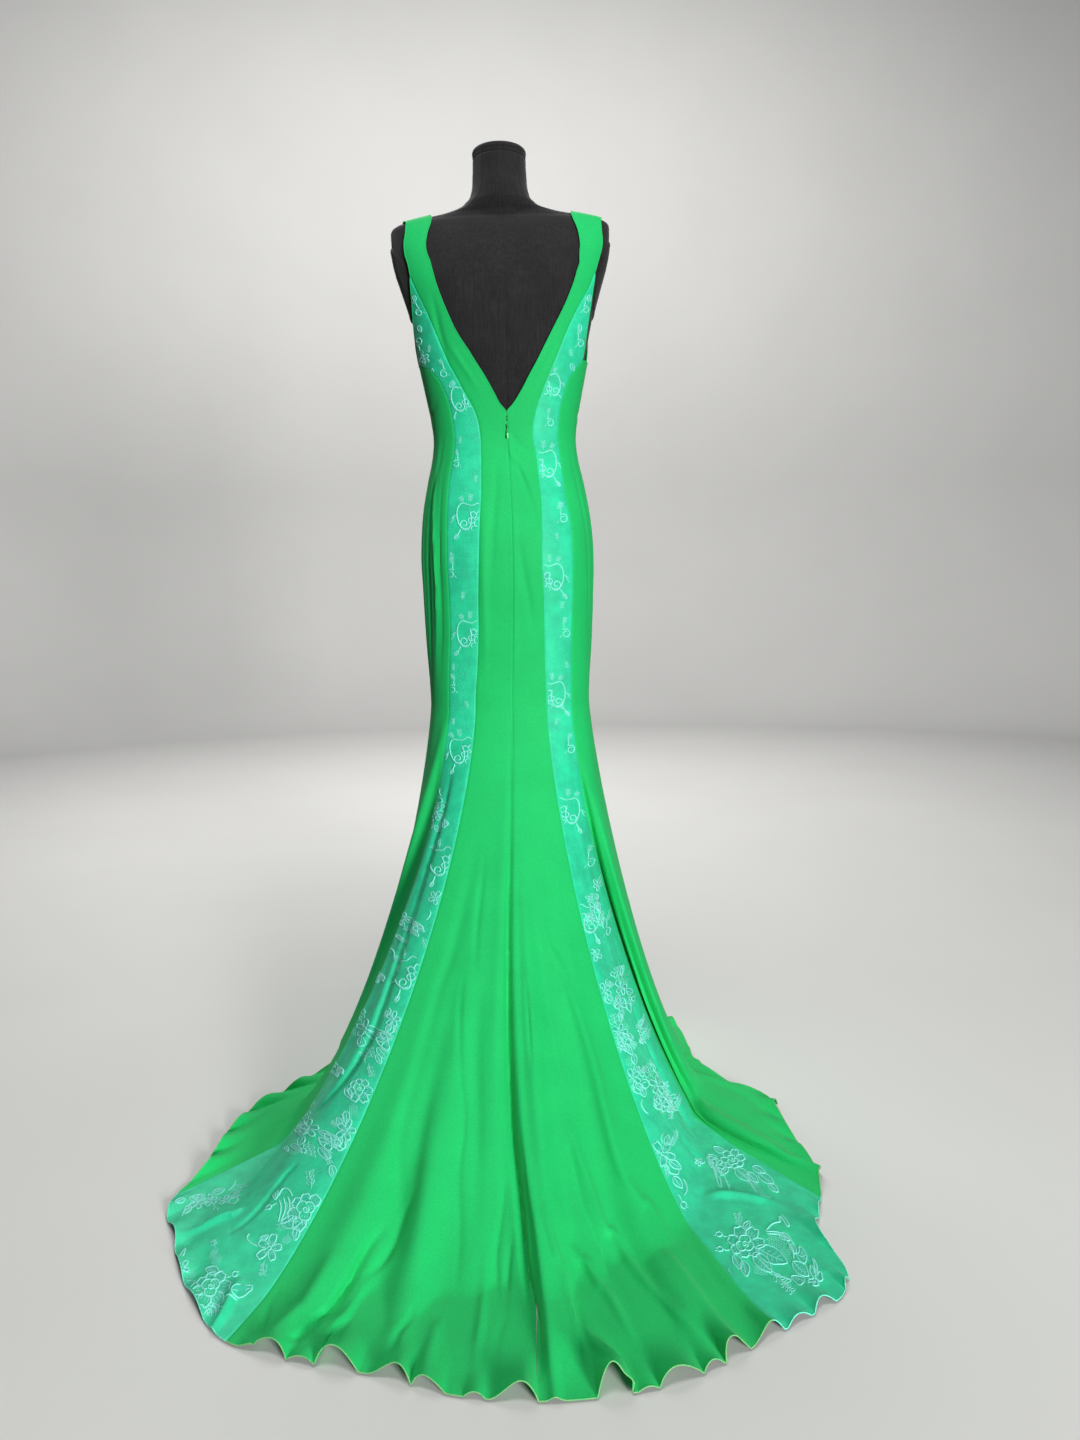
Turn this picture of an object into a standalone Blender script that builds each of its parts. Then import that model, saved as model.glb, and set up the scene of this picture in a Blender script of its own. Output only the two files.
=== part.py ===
"""Mermaid prom dress on a limbless dress form, in Blender 4.5 (metres, +Z up).

The back of the dress faces +Y, where the train lies, and the wearer's left is +X.
The origin is on the floor, under the pole of the stand.
"""
import math

import bmesh
import bpy
from mathutils import Vector

# Driving sizes of the garment
WALL = 0.0016            # thickness of the cloth wall
SEAM_GAP = 0.0003        # between neighbouring pieces
PIVOT = 1.42             # height from which the rows fan out over the shoulder
SHOULDER = 1.51          # station of the shoulder seam
BACK_NECK = 1.17         # height of the point of the V at the back, where its table's edges meet
FRONT_NECK = 1.31        # height of the point of the V at the front
LACE_TOP = 1.405         # height where the lace panel begins at the armhole
UNDERARM = 1.265         # height of the bottom of the armhole
KNEE = 0.66              # height where the skirt begins to flare
FLARE_BACK = 2.82        # exponent of the hollow slope over the train
FLARE_SIDE = 2.50        # the same at the sides and front, where the slope is steeper
FLOOR_LIFT = 0.0019      # height of the upper face of cloth that lies on the floor
FLOOR_SOFTNESS = 0.002   # size of the soft bend where the cloth comes down on the floor
SHOULDER_EASE = 0.0023   # between the figure and the straps
BODY_EASE = 0.0030       # between the figure and the fitted bodice
FORM_INSET = 0.0015      # how far the form's own skin lies inside the figure
TILT = 0.036             # the form's right shoulder stands a little higher than its left

# Driving sizes of the form, its stand and the fastenings
FORM_BOTTOM = 0.78
NECK_TOP = 1.620
CAP_HEIGHT = 0.012
POLE_RADIUS = 0.0125
BASE_RADIUS = 0.125
BASE_HEIGHT = 0.020
SEAT_GAP = 0.0003        # between the pieces of the form and its stand
FASTENING_GAP = 0.0006   # between the cloth and the hook, eye and slider
WIRE_RADIUS = 0.0004     # of the hook and eye
LOOP_HALF_WIDTH = 0.0012
LOOP_HALF_HEIGHT = 0.0018
EYE_BELOW_V = 0.0060     # from the point of the V down to the middle of the eye
HOOK_BELOW_V = 0.0112
SLIDER_WIDTH = 0.0042
SLIDER_HEIGHT = 0.0075
SLIDER_DEPTH = 0.0022
SLIDER_BEVEL = 0.0004
SLIDER_BELOW_V = 0.0220
PULL_LENGTH = 0.021
PULL_THICK = 0.0010
PULL_HINGE_DROP = 0.0005  # from the middle of the slider down to the pull tab's hinge

# Mesh settings
PLACE_STEP = 0.002       # steps over which the slopes of the cloth are measured
HEIGHT_STEP = 0.0015
EDGE_INSET = 0.00001     # keeps a panel's edge on its own side of a seam
SHOULDER_SEAM_STEP = 0.004
FORM_SIDES = 36
CAP_SIDES = 24
STAND_SIDES = 32
LOOP_TURNS = 14
WIRE_SIDES = 6

# The figure: rings at a height, by half width, depth behind and before the axis, and squareness
FIGURE_COLUMNS = ("height", "half", "back", "front", "square")
FIGURE = (
    (0.660, 0.1420, 0.088, 0.095, 2.3),
    (0.700, 0.1430, 0.090, 0.097, 2.3),
    (0.760, 0.1465, 0.096, 0.100, 2.3),
    (0.820, 0.1490, 0.105, 0.103, 2.3),
    (0.870, 0.1505, 0.113, 0.106, 2.3),
    (0.920, 0.1520, 0.117, 0.108, 2.3),
    (0.960, 0.1505, 0.115, 0.108, 2.3),
    (1.010, 0.1455, 0.106, 0.104, 2.3),
    (1.060, 0.1360, 0.090, 0.098, 2.3),
    (1.100, 0.1270, 0.079, 0.094, 2.3),
    (1.135, 0.1235, 0.075, 0.094, 2.3),
    (1.170, 0.1275, 0.079, 0.102, 2.3),
    (1.220, 0.1370, 0.088, 0.118, 2.3),
    (1.270, 0.1470, 0.097, 0.128, 2.3),
    (1.320, 0.1570, 0.098, 0.120, 2.3),
    (1.360, 0.1660, 0.096, 0.108, 2.4),
    (1.400, 0.1780, 0.091, 0.092, 2.5),
    (1.430, 0.1870, 0.083, 0.078, 2.6),
    (1.465, 0.1930, 0.070, 0.060, 2.8),
    (1.490, 0.1940, 0.059, 0.048, 2.8),
    (1.504, 0.1840, 0.050, 0.040, 2.7),
    (1.512, 0.1580, 0.044, 0.036, 2.5),
    (1.519, 0.1200, 0.043, 0.035, 2.3),
    (1.527, 0.0850, 0.049, 0.039, 2.2),
    (1.540, 0.0620, 0.056, 0.045, 2.1),
    (1.558, 0.0520, 0.057, 0.047, 2.0),
    (1.585, 0.0490, 0.053, 0.047, 2.0),
    (1.620, 0.0480, 0.051, 0.047, 2.0),
)

# Seams of the back, in degrees from the centre back, the wearer's left being positive.
# Above the underarm the outer columns are the armhole, and above the V the edge is the neckline.
BACK_COLUMNS = (
    "height", "right_outer", "right_inner", "right_edge", "left_edge", "left_inner", "left_outer",
)
BACK_SEAMS = (
    (0.660, -57.4, -34.8, 1.0, 1.0, 38.0, 60.5),
    (0.740, -55.3, -32.0, -0.2, -0.2, 33.5, 57.0),
    (0.800, -53.0, -29.7, -0.8, -0.8, 30.0, 53.0),
    (0.850, -51.5, -27.5, -1.2, -1.2, 28.0, 50.8),
    (0.910, -49.8, -24.8, -1.4, -1.4, 25.6, 49.7),
    (0.970, -50.0, -26.0, -1.5, -1.5, 25.0, 50.3),
    (1.020, -50.3, -28.5, -1.4, -1.4, 25.3, 52.5),
    (1.060, -52.8, -30.5, -1.2, -1.2, 27.5, 55.3),
    (1.100, -55.6, -32.2, -0.8, -0.8, 30.0, 56.2),
    (1.135, -56.3, -30.2, -0.3, -0.3, 31.7, 56.6),
    (1.170, -55.6, -32.0, 0.3, 0.3, 34.5, 56.7),
    (1.185, -55.8, -33.7, -7.5, 8.0, 37.5, 57.0),
    (1.205, -57.0, -36.8, -15.5, 14.5, 42.0, 58.3),
    (1.235, -60.5, -41.0, -24.0, 23.5, 47.5, 63.5),
    (1.250, -65.0, -43.2, -28.0, 28.0, 50.2, 69.5),
    (1.265, -70.5, -45.5, -31.5, 32.0, 52.5, 84.0),
    (1.305, -71.0, -52.3, -41.0, 42.8, 58.0, 81.0),
    (1.345, -71.0, -59.8, -49.8, 49.6, 63.0, 75.5),
    (1.385, -70.4, -67.5, -56.3, 54.7, 68.0, 71.5),
    (1.405, -70.6, -69.9, -58.8, 56.8, 69.9, 70.6),
    (1.420, -71.4, -71.4, -61.0, 58.6, 70.5, 70.5),
    (1.440, -72.3, -72.3, -61.4, 60.8, 71.0, 71.0),
    (1.450, -71.9, -71.9, -60.6, 60.3, 70.3, 70.3),
    (1.465, -69.7, -69.7, -57.5, 57.1, 67.7, 67.7),
    (1.477, -66.1, -66.1, -53.0, 52.7, 63.7, 63.7),
    (1.488, -63.1, -63.1, -50.6, 50.6, 61.0, 61.0),
    (1.510, -63.0, -63.0, -51.0, 51.0, 61.8, 61.8),
)

# The front's edges, in degrees from the centre front, alike on both sides
FRONT_COLUMNS = ("height", "neck", "side")
FRONT_EDGES = (
    (0.660, 0.0, 85.0),
    (1.265, 0.0, 85.0),
    (1.310, 0.6, 79.0),
    (1.325, 16.0, 76.0),
    (1.345, 30.0, 73.5),
    (1.385, 48.0, 70.0),
    (1.420, 57.0, 70.0),
    (1.440, 60.0, 71.0),
    (1.465, 57.2, 68.5),
    (1.477, 53.0, 65.0),
    (1.488, 50.8, 62.4),
    (1.510, 51.0, 62.4),
)

# Angles at which the same seams reach the hem
HEM_SEAMS = {
    "right_outer": -33.8, "right_inner": -16.2, "edge": 2.1, "left_inner": 25.8, "left_outer": 47.5,
}
HEM_SIDE_SEAM = 93.0

# The hem seen from above: its angle, its distance from the axis, and the run from knee to floor
HEM_COLUMNS = ("angle", "radius", "run")
HEM = (
    (-180.0, 0.300, 0.180), (-150.0, 0.303, 0.178), (-120.0, 0.312, 0.176), (-93.0, 0.320, 0.174),
    (-76.0, 0.330, 0.176), (-66.0, 0.352, 0.186), (-60.0, 0.398, 0.200), (-57.0, 0.438, 0.210),
    (-54.0, 0.508, 0.230), (-50.0, 0.540, 0.255), (-46.0, 0.572, 0.270), (-42.0, 0.616, 0.290),
    (-38.0, 0.674, 0.310), (-33.8, 0.712, 0.335), (-30.5, 0.742, 0.375), (-28.4, 0.768, 0.410),
    (-26.4, 0.838, 0.445), (-23.8, 0.874, 0.480), (-21.0, 0.884, 0.520), (-16.2, 0.897, 0.580),
    (-8.0, 0.930, 0.640), (0.0, 0.940, 0.700), (7.0, 0.930, 0.720), (14.0, 0.905, 0.722),
    (20.0, 0.895, 0.722), (25.8, 0.888, 0.720), (32.0, 0.850, 0.660), (40.0, 0.780, 0.550),
    (47.5, 0.712, 0.430), (49.3, 0.672, 0.405), (52.0, 0.636, 0.370), (55.5, 0.602, 0.330),
    (59.5, 0.562, 0.290), (64.0, 0.512, 0.250), (68.0, 0.452, 0.220), (72.0, 0.410, 0.200),
    (77.0, 0.358, 0.185), (83.0, 0.340, 0.178), (93.0, 0.330, 0.176), (120.0, 0.316, 0.176),
    (150.0, 0.303, 0.178), (180.0, 0.300, 0.180),
)
SHORTEST_LYING = 0.009   # cloth that lies on the floor where the hem only just reaches it

# Folds of the skirt, counted round in panels: 0 centre back, 1 and 2 the lace's seams, 3 the side
# seam and 4 the centre front, the right side being negative. A negative rise is a valley, and
# the top is the height where the fold begins.
FOLD_AT_KNEE = 0.18      # depth of a fold at the knee, as a share of its depth at the hem
FOLD_GROWTH = 0.45       # share of the way down the skirt over which a fold deepens
FOLD_COLUMNS = ("knee_at", "hem_at", "half_width", "rise", "top")
FOLDS = (
    (0.10, 0.14, 0.10, -0.016, 0.50),
    (-0.10, -0.10, 0.09, 0.015, 0.55),
    (-0.20, -0.26, 0.08, -0.010, 0.40),
    (0.40, 0.33, 0.11, -0.012, 0.40),
    (0.68, 0.60, 0.09, -0.013, 0.42),
    (0.55, 0.47, 0.09, 0.010, 0.42),
    (0.80, 0.80, 0.10, 0.014, 0.40),
    (-0.50, -0.52, 0.10, -0.009, 0.42),
    (-0.66, -0.70, 0.10, 0.012, 0.50),
    (1.45, 1.40, 0.30, 0.018, 0.62),
    (1.90, 1.92, 0.16, -0.012, 0.50),
    (2.30, 2.20, 0.14, 0.018, 0.60),
    (2.66, 2.62, 0.16, 0.012, 0.60),
    (2.46, 2.42, 0.10, -0.010, 0.50),
    (-1.50, -1.55, 0.26, -0.008, 0.50),
    (-2.20, -2.22, 0.16, 0.022, 0.58),
    (-2.55, -2.60, 0.14, -0.012, 0.50),
    (3.20, 3.20, 0.07, 0.012, 0.50),
    (3.45, 3.45, 0.07, -0.012, 0.50),
    (3.70, 3.70, 0.07, 0.012, 0.50),
    (-3.20, -3.20, 0.07, 0.012, 0.50),
    (-3.45, -3.45, 0.07, -0.012, 0.50),
    (-3.70, -3.70, 0.07, 0.012, 0.50),
)
SKIRT_FOLDS = [dict(zip(FOLD_COLUMNS, row)) for row in FOLDS]

# Waves of the hem: angle, half width in degrees, and how far the edge lifts and draws in
WAVE_COLUMNS = ("angle", "half_width", "lift", "draw")
WAVES = (
    (23.4, 1.3, 0.012, 0.006), (17.9, 1.4, 0.022, 0.008), (12.5, 1.6, 0.022, 0.006),
    (9.3, 1.0, 0.008, 0.004), (3.0, 1.8, 0.020, 0.004), (-3.9, 1.4, 0.026, 0.012),
    (-8.0, 1.5, 0.022, 0.008), (-11.6, 1.0, 0.016, 0.004), (-14.8, 1.2, 0.018, 0.010),
    (-22.6, 1.5, 0.014, 0.006), (-28.4, 2.0, 0.012, 0.006), (-36.5, 2.0, 0.010, 0.004),
    (-44.0, 1.8, 0.012, 0.010), (-49.0, 2.0, 0.012, 0.008), (-55.0, 2.4, 0.012, 0.008),
    (-64.0, 3.0, 0.012, 0.004), (33.0, 2.4, 0.008, 0.000), (42.0, 2.4, 0.010, 0.004),
    (50.0, 1.6, 0.014, 0.018), (55.2, 1.8, 0.014, 0.012), (59.8, 1.8, 0.014, 0.012),
    (64.6, 1.8, 0.014, 0.012), (70.0, 2.2, 0.012, 0.008), (80.0, 3.4, 0.012, 0.004),
)
HEM_WAVES = [dict(zip(WAVE_COLUMNS, row)) for row in WAVES]
FRONT_WAVES = 16         # like waves round the front, between the side seams
FRONT_WAVE_LIFT = 0.010
WAVE_REACH = 0.075       # how far up from the hem a wave runs out

# Stations of the rows of points: heights down to the knee, then degrees of the slope to the floor,
# then shares of the cloth that lies on the floor
BODY_ROWS = (
    1.510, 1.504, 1.497, 1.490, 1.483, 1.474, 1.462, 1.442, 1.420, 1.385, 1.345, 1.305, 1.265, 1.250,
    1.235, 1.205, 1.185, 1.170, 1.152, 1.135, 1.100, 1.055, 1.010, 0.960, 0.910, 0.860, 0.800,
    0.730, 0.660,
)
SLOPE_ROWS = (12.0, 22.0, 32.0, 41.0, 49.0, 57.0, 64.0, 71.0, 77.5, 84.0, 90.0)
FLOOR_ROWS = (0.35, 0.65, 0.85, 1.0)
FINE_SLOPE = 64.0        # degrees of slope from which a panel has its full number of columns

# Columns across each kind of panel, by body, upper skirt and hem
PANEL_COLUMNS = {
    "centre_back": (5, 10, 30),
    "lace": (4, 6, 14),
    "side": (6, 9, 16),
    "front": (10, 20, 40),
}

# Heights of the rings of the form, and the rounded profile of its neck cap
FORM_ROWS = (
    FORM_BOTTOM, 0.820, 0.870, 0.920, 0.960, 1.010, 1.060, 1.100, 1.135, 1.170, 1.220, 1.270, 1.320,
    1.360, 1.400, 1.430, 1.455, 1.475, 1.490, 1.498, 1.504, 1.508, 1.512, 1.516, 1.520, 1.525,
    1.531, 1.540, 1.555, 1.580, NECK_TOP,
)
CAP_COLUMNS = ("share of the neck's width", "share of the cap's height")
CAP_PROFILE = ((1.0, 0.0), (1.0, 0.45), (0.93, 0.75), (0.70, 0.93), (0.35, 1.0))

# Profiles of the stand's base and of the pull tab's right half, down from its hinge
BASE_COLUMNS = ("share of the base's radius", "share of its height")
BASE_PROFILE = ((1.0, 0.0), (1.0, 0.45), (0.95, 0.60), (0.35, 0.85), (0.20, 1.0))
PULL_COLUMNS = ("half width", "share of the length")
PULL_PROFILE = (
    (0.00055, 0.0), (0.0007, 0.19), (0.0009, 0.48), (0.0017, 0.74), (0.0019, 0.86), (0.0013, 0.957),
    (0.0, 1.0),
)

MATERIALS = {
    "green_crepe": ((0.020, 0.560, 0.115, 1.0), 0.75, 0.0),
    "turquoise_lace": ((0.030, 0.680, 0.420, 1.0), 0.60, 0.0),
    "form_cloth": ((0.026, 0.024, 0.025, 1.0), 0.90, 0.0),
    "stand_metal": ((0.060, 0.060, 0.065, 1.0), 0.40, 0.8),
    "painted_zip": ((0.015, 0.420, 0.090, 1.0), 0.35, 0.5),
}


def clear_scene():
    for old in list(bpy.data.objects):
        bpy.data.objects.remove(old, do_unlink=True)


def make_material(name):
    colour, roughness, metallic = MATERIALS[name]
    material = bpy.data.materials.new(name)
    material.use_nodes = True
    shader = material.node_tree.nodes["Principled BSDF"]
    shader.inputs["Base Color"].default_value = colour
    shader.inputs["Roughness"].default_value = roughness
    shader.inputs["Metallic"].default_value = metallic
    return material


def add_object(name, bm, material, smooth_angle=40.0):
    mesh = bpy.data.meshes.new(name)
    bm.to_mesh(mesh)
    bm.free()
    mesh.shade_smooth()
    mesh.set_sharp_from_angle(angle=math.radians(smooth_angle))
    mesh.materials.append(material)
    thing = bpy.data.objects.new(name, mesh)
    bpy.context.scene.collection.objects.link(thing)
    return thing


def read_table(rows, key, column):
    """Value of a column at key, on a smooth curve that never overshoots its rows."""
    last = len(rows) - 1
    if key <= rows[0][0]:
        return rows[0][column]
    if key >= rows[last][0]:
        return rows[last][column]
    low = max(k for k in range(last) if rows[k][0] <= key)

    def slope(k):
        if k == 0 or k == last:
            return 0.0
        before = (rows[k][column] - rows[k - 1][column]) / (rows[k][0] - rows[k - 1][0])
        after = (rows[k + 1][column] - rows[k][column]) / (rows[k + 1][0] - rows[k][0])
        if before * after <= 0.0:
            return 0.0
        return 2.0 * before * after / (before + after)

    step = rows[low + 1][0] - rows[low][0]
    t = (key - rows[low][0]) / step
    start = rows[low][column] + slope(low) * step * t * (1.0 - t) ** 2
    start += (rows[low + 1][column] - rows[low][column]) * t * t * (3.0 - 2.0 * t)
    return start - slope(low + 1) * step * t * t * (1.0 - t)


def ease_step(low, high, value):
    t = min(1.0, max(0.0, (value - low) / (high - low)))
    return t * t * (3.0 - 2.0 * t)


def figure_size(height):
    return [read_table(FIGURE, height, column) for column in range(1, len(FIGURE_COLUMNS))]


def ring_radius(height, angle):
    """Distance of the figure's surface from the axis, in a direction from the centre back."""
    half, back, front, square = figure_size(height)
    depth = back if math.cos(angle) > 0.0 else front
    across = (abs(math.sin(angle)) / half) ** square
    along = (abs(math.cos(angle)) / depth) ** square
    return (across + along) ** (-1.0 / square)


def fan_radius(direction):
    """Distance of the figure's surface from the pivot of the shoulder rows, along a direction."""
    low, high = 0.02, 0.40
    for _ in range(26):
        middle = (low + high) / 2.0
        point = direction * middle
        half, back, front, square = figure_size(PIVOT + point.z)
        depth = back if point.y > 0.0 else front
        filled = (abs(point.x) / half) ** square + (abs(point.y) / depth) ** square
        if PIVOT + point.z < NECK_TOP and filled < 1.0:
            low = middle
        else:
            high = middle
    return low


def tilted(point):
    """The same point with the slant of the form's shoulders."""
    share = ease_step(1.22, 1.50, point.z) * (1.0 - ease_step(1.520, 1.550, point.z))
    return Vector((point.x, point.y, point.z - TILT * point.x * share))


def cloth_ease(station):
    return SHOULDER_EASE + (BODY_EASE - SHOULDER_EASE) * ease_step(1.47, 1.38, station)


def body_point(station, angle):
    """Outer face of the cloth above the knee; the angle is in radians from the centre back."""
    ease = cloth_ease(station) + WALL
    if station <= PIVOT:
        radius = ring_radius(station, angle) + ease
        return tilted(Vector((radius * math.sin(angle), radius * math.cos(angle), station)))
    turn = math.radians(90.0) * (station - PIVOT) / (SHOULDER - PIVOT)
    direction = Vector((
        math.sin(angle),
        math.cos(angle) * math.cos(turn),
        abs(math.cos(angle)) * math.sin(turn),
    ))
    return tilted(Vector((0.0, 0.0, PIVOT)) + direction * (fan_radius(direction) + ease))


def seam_angles(station, side):
    """Angles of the centre, the lace's two seams, the side seam and the centre front, by side."""
    prefix = "left_" if side > 0 else "right_"
    names = (prefix + "edge", prefix + "inner", prefix + "outer")
    angles = [read_table(BACK_SEAMS, station, BACK_COLUMNS.index(name)) for name in names]
    front_side = 180.0 - read_table(FRONT_EDGES, station, FRONT_COLUMNS.index("side"))
    neck = 180.0 - read_table(FRONT_EDGES, station, FRONT_COLUMNS.index("neck"))
    return angles + [side * front_side, side * neck]


def hem_angles(side):
    prefix = "left_" if side > 0 else "right_"
    names = ("edge", prefix + "inner", prefix + "outer")
    return [HEM_SEAMS[name] for name in names] + [side * HEM_SIDE_SEAM, side * 180.0]


def spread(angles, around):
    """Angle, in radians, at a place counted in panels from the centre back."""
    place = min(abs(around), len(angles) - 1.0001)
    panel = int(place)
    degrees = angles[panel] + (angles[panel + 1] - angles[panel]) * (place - panel)
    return math.radians(degrees)


def wave_at(angle):
    """Lift and draw of the hem at an angle in degrees."""
    lift, draw = 0.0, 0.0
    for wave in HEM_WAVES:
        share = math.exp(-((angle - wave["angle"]) / wave["half_width"]) ** 2)
        lift += wave["lift"] * share
        draw += wave["draw"] * share
    if abs(angle) > HEM_SIDE_SEAM:
        turn = (abs(angle) - HEM_SIDE_SEAM) / (180.0 - HEM_SIDE_SEAM)
        lift += FRONT_WAVE_LIFT * (0.5 - 0.5 * math.cos(math.pi * FRONT_WAVES * turn))
    return lift, draw


def fold_at(around, down):
    """Rise of the folds at a place round the skirt and a share of the way down it."""
    rise = 0.0
    for fold in SKIRT_FOLDS:
        centre = fold["knee_at"] + (fold["hem_at"] - fold["knee_at"]) * down
        start = 1.0 - fold["top"] / KNEE
        grown = ease_step(start, start + FOLD_GROWTH, down)
        share = math.exp(-((around - centre) / fold["half_width"]) ** 2)
        rise += fold["rise"] * grown * share
    return rise


def skirt_point(station, around):
    """Outer face of the skirt: the station is a slope's height, or below 0 a share of the floor."""
    side = 1 if around >= 0.0 else -1
    knee_angle = spread(seam_angles(KNEE, side), around)
    hem_angle = spread(hem_angles(side), around)
    start = body_point(KNEE, knee_angle)
    hem_degrees = math.degrees(hem_angle)
    lift, draw = wave_at(hem_degrees)
    radius = read_table(HEM, hem_degrees, HEM_COLUMNS.index("radius")) - draw
    way = Vector((radius * math.sin(hem_angle), radius * math.cos(hem_angle), KNEE)) - start
    length = way.length
    run = min(read_table(HEM, hem_degrees, HEM_COLUMNS.index("run")), length - SHORTEST_LYING)
    way.normalize()
    slope = math.radians(90.0) * (1.0 - max(0.0, station) / KNEE)
    flare = FLARE_SIDE + (FLARE_BACK - FLARE_SIDE) * ease_step(0.20, 0.40, run)
    if station > 0.0:
        distance = run * math.sin(slope) ** flare
        height = FLOOR_LIFT + (KNEE - FLOOR_LIFT) * math.cos(slope) ** flare
    else:
        distance = run - (length - run) * station
        height = FLOOR_LIFT
    to_hem = length - distance
    down = slope / math.radians(90.0)
    opened = FOLD_AT_KNEE + (1.0 - FOLD_AT_KNEE) * distance / length
    rise = fold_at(around, down) * opened * ease_step(0.0, 0.10, to_hem)
    edge = max(0.0, 1.0 - to_hem / WAVE_REACH)
    point = start + way * (distance + rise * math.cos(slope))
    above = height - FLOOR_LIFT + rise * math.sin(slope)
    above = (above + math.sqrt(above * above + FLOOR_SOFTNESS * FLOOR_SOFTNESS)) / 2.0
    point.z = FLOOR_LIFT + above + lift * edge * edge
    return point


def cloth_point(station, around, angle):
    if station >= KNEE:
        return body_point(station, angle)
    return skirt_point(station, around)


def cloth_frame(station, around):
    """Outer point, direction round the figure and outward normal of the cloth."""
    side = 1 if around >= 0.0 else -1
    angle = spread(seam_angles(max(station, KNEE), side), around)
    ahead = cloth_point(station, around + PLACE_STEP, angle + PLACE_STEP)
    behind = cloth_point(station, around - PLACE_STEP, angle - PLACE_STEP)
    above = cloth_point(min(station + HEIGHT_STEP, SHOULDER), around, angle)
    below = cloth_point(max(station - HEIGHT_STEP, -1.0), around, angle)
    round_way = (ahead - behind).normalized()
    normal = round_way.cross(below - above).normalized()
    return cloth_point(station, around, angle), round_way, normal


def panel_rows(kind, top):
    """Stations of a panel's rows, each with its number of columns."""
    body, upper, full = PANEL_COLUMNS[kind]
    rows = [(height, body) for height in BODY_ROWS if height <= top]
    if rows[0][0] < top:
        rows.insert(0, (top, body))
    for degrees in SLOPE_ROWS:
        station = KNEE * (1.0 - degrees / 90.0)
        rows.append((station, full if degrees >= FINE_SLOPE else upper))
    rows += [(-share, full) for share in FLOOR_ROWS]
    return rows


def cloth_corner(station, around, seam_side):
    """Outer and inner point of the wall, drawn back from a seam by half the gap."""
    point, round_way, normal = cloth_frame(station, around)
    point = point + round_way * (seam_side * SEAM_GAP / 2.0)
    if station >= SHOULDER:
        below = cloth_frame(station - SHOULDER_SEAM_STEP, around)[0]
        point = point + (below - point).normalized() * (SEAM_GAP / 2.0)
    inner = point - normal * WALL
    inner.z = max(inner.z, FLOOR_LIFT - WALL)
    return point, inner


class Wall:
    """A cloth wall: outer faces over points that each have their inner point.

    Its edge is split from the upper outer to the lower inner corner, alike on both sides of a seam.
    """

    def __init__(self):
        self.outer = []
        self.inner = []
        self.found = {}
        self.faces = []

    def corner(self, pair):
        key = tuple(round(value, 6) for value in pair[0])
        if key not in self.found:
            self.found[key] = len(self.outer)
            self.outer.append(pair[0])
            self.inner.append(pair[1])
        return self.found[key]

    def add_rows(self, rows):
        """Join rows of corner pairs, from the top down, each running towards greater angles."""
        marks = [[self.corner(pair) for pair in row] for row in rows]
        for upper, lower in zip(marks, marks[1:]):
            self.join(upper, lower)

    def join(self, upper, lower):
        if len(upper) == len(lower):
            for k in range(len(upper) - 1):
                self.faces.append((upper[k], upper[k + 1], lower[k + 1], lower[k]))
            return
        i, j = 0, 0
        while i < len(upper) - 1 or j < len(lower) - 1:
            next_upper = (i + 1) / (len(upper) - 1)
            next_lower = (j + 1) / (len(lower) - 1)
            if j == len(lower) - 1 or (i < len(upper) - 1 and next_upper < next_lower + 1e-9):
                self.faces.append((upper[i], upper[i + 1], lower[j]))
                i += 1
            else:
                self.faces.append((upper[i], lower[j + 1], lower[j]))
                j += 1

    def build(self):
        bm = bmesh.new()
        outer = [bm.verts.new(point) for point in self.outer]
        inner = [bm.verts.new(point) for point in self.inner]
        sides = {}
        for face in self.faces:
            bm.faces.new([outer[k] for k in face])
            bm.faces.new([inner[k] for k in reversed(face)])
            for start, end in zip(face, face[1:] + face[:1]):
                sides[(start, end)] = True
        for start, end in sides:
            if (end, start) not in sides:
                high, low = min(start, end), max(start, end)
                bm.faces.new((outer[end], outer[start], inner[low]))
                bm.faces.new((inner[start], inner[end], outer[high]))
        bmesh.ops.recalc_face_normals(bm, faces=bm.faces[:])
        return bm


def row_of_corners(station, start, end, columns, seams):
    """Corners of one row between two places; seams says at which ends a neighbour is sewn on."""
    corners = []
    for column in range(columns + 1):
        around = start + (end - start) * column / columns
        seam_side = seams[0] if column == 0 else -seams[1] if column == columns else 0
        corners.append(cloth_corner(station, around, seam_side))
    return corners


def build_panel(name, kind, top, start, end, material):
    """A panel between two places round the dress, from its top edge to the hem."""
    wall = Wall()
    first = start + EDGE_INSET
    last = end - EDGE_INSET
    rows = [
        row_of_corners(station, first, last, columns, (1, 1))
        for station, columns in panel_rows(kind, top)
    ]
    wall.add_rows(rows)
    return add_object(name, wall.build(), material)


def build_front(material):
    """The front: two straps that run into one piece below the point of the neckline."""
    wall = Wall()
    counts = dict(panel_rows("front", FRONT_NECK))
    left_ends = (3.0 + EDGE_INSET, 4.0 - EDGE_INSET)
    right_ends = (-4.0 + EDGE_INSET, -3.0 - EDGE_INSET)
    strap_rows = [height for height in BODY_ROWS if height > FRONT_NECK] + [FRONT_NECK]
    for ends, seams in ((left_ends, (1, 0)), (right_ends, (0, 1))):
        columns = counts[FRONT_NECK] // 2
        wall.add_rows([row_of_corners(height, *ends, columns, seams) for height in strap_rows])
    rows = []
    for station, columns in counts.items():
        left = row_of_corners(station, *left_ends, columns // 2, (1, 0))
        right = row_of_corners(station, *right_ends, columns // 2, (0, 1))
        if station < FRONT_NECK:
            middle = tuple((left[-1][k] + right[0][k]) / 2.0 for k in (0, 1))
            left = left[:-1]
            right[0] = middle
        rows.append(left + right)
    wall.add_rows(rows)
    return add_object("front", wall.build(), material)


def form_size(height):
    half, back, front, square = figure_size(height)
    return half - FORM_INSET, back - FORM_INSET, front - FORM_INSET, square


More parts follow.
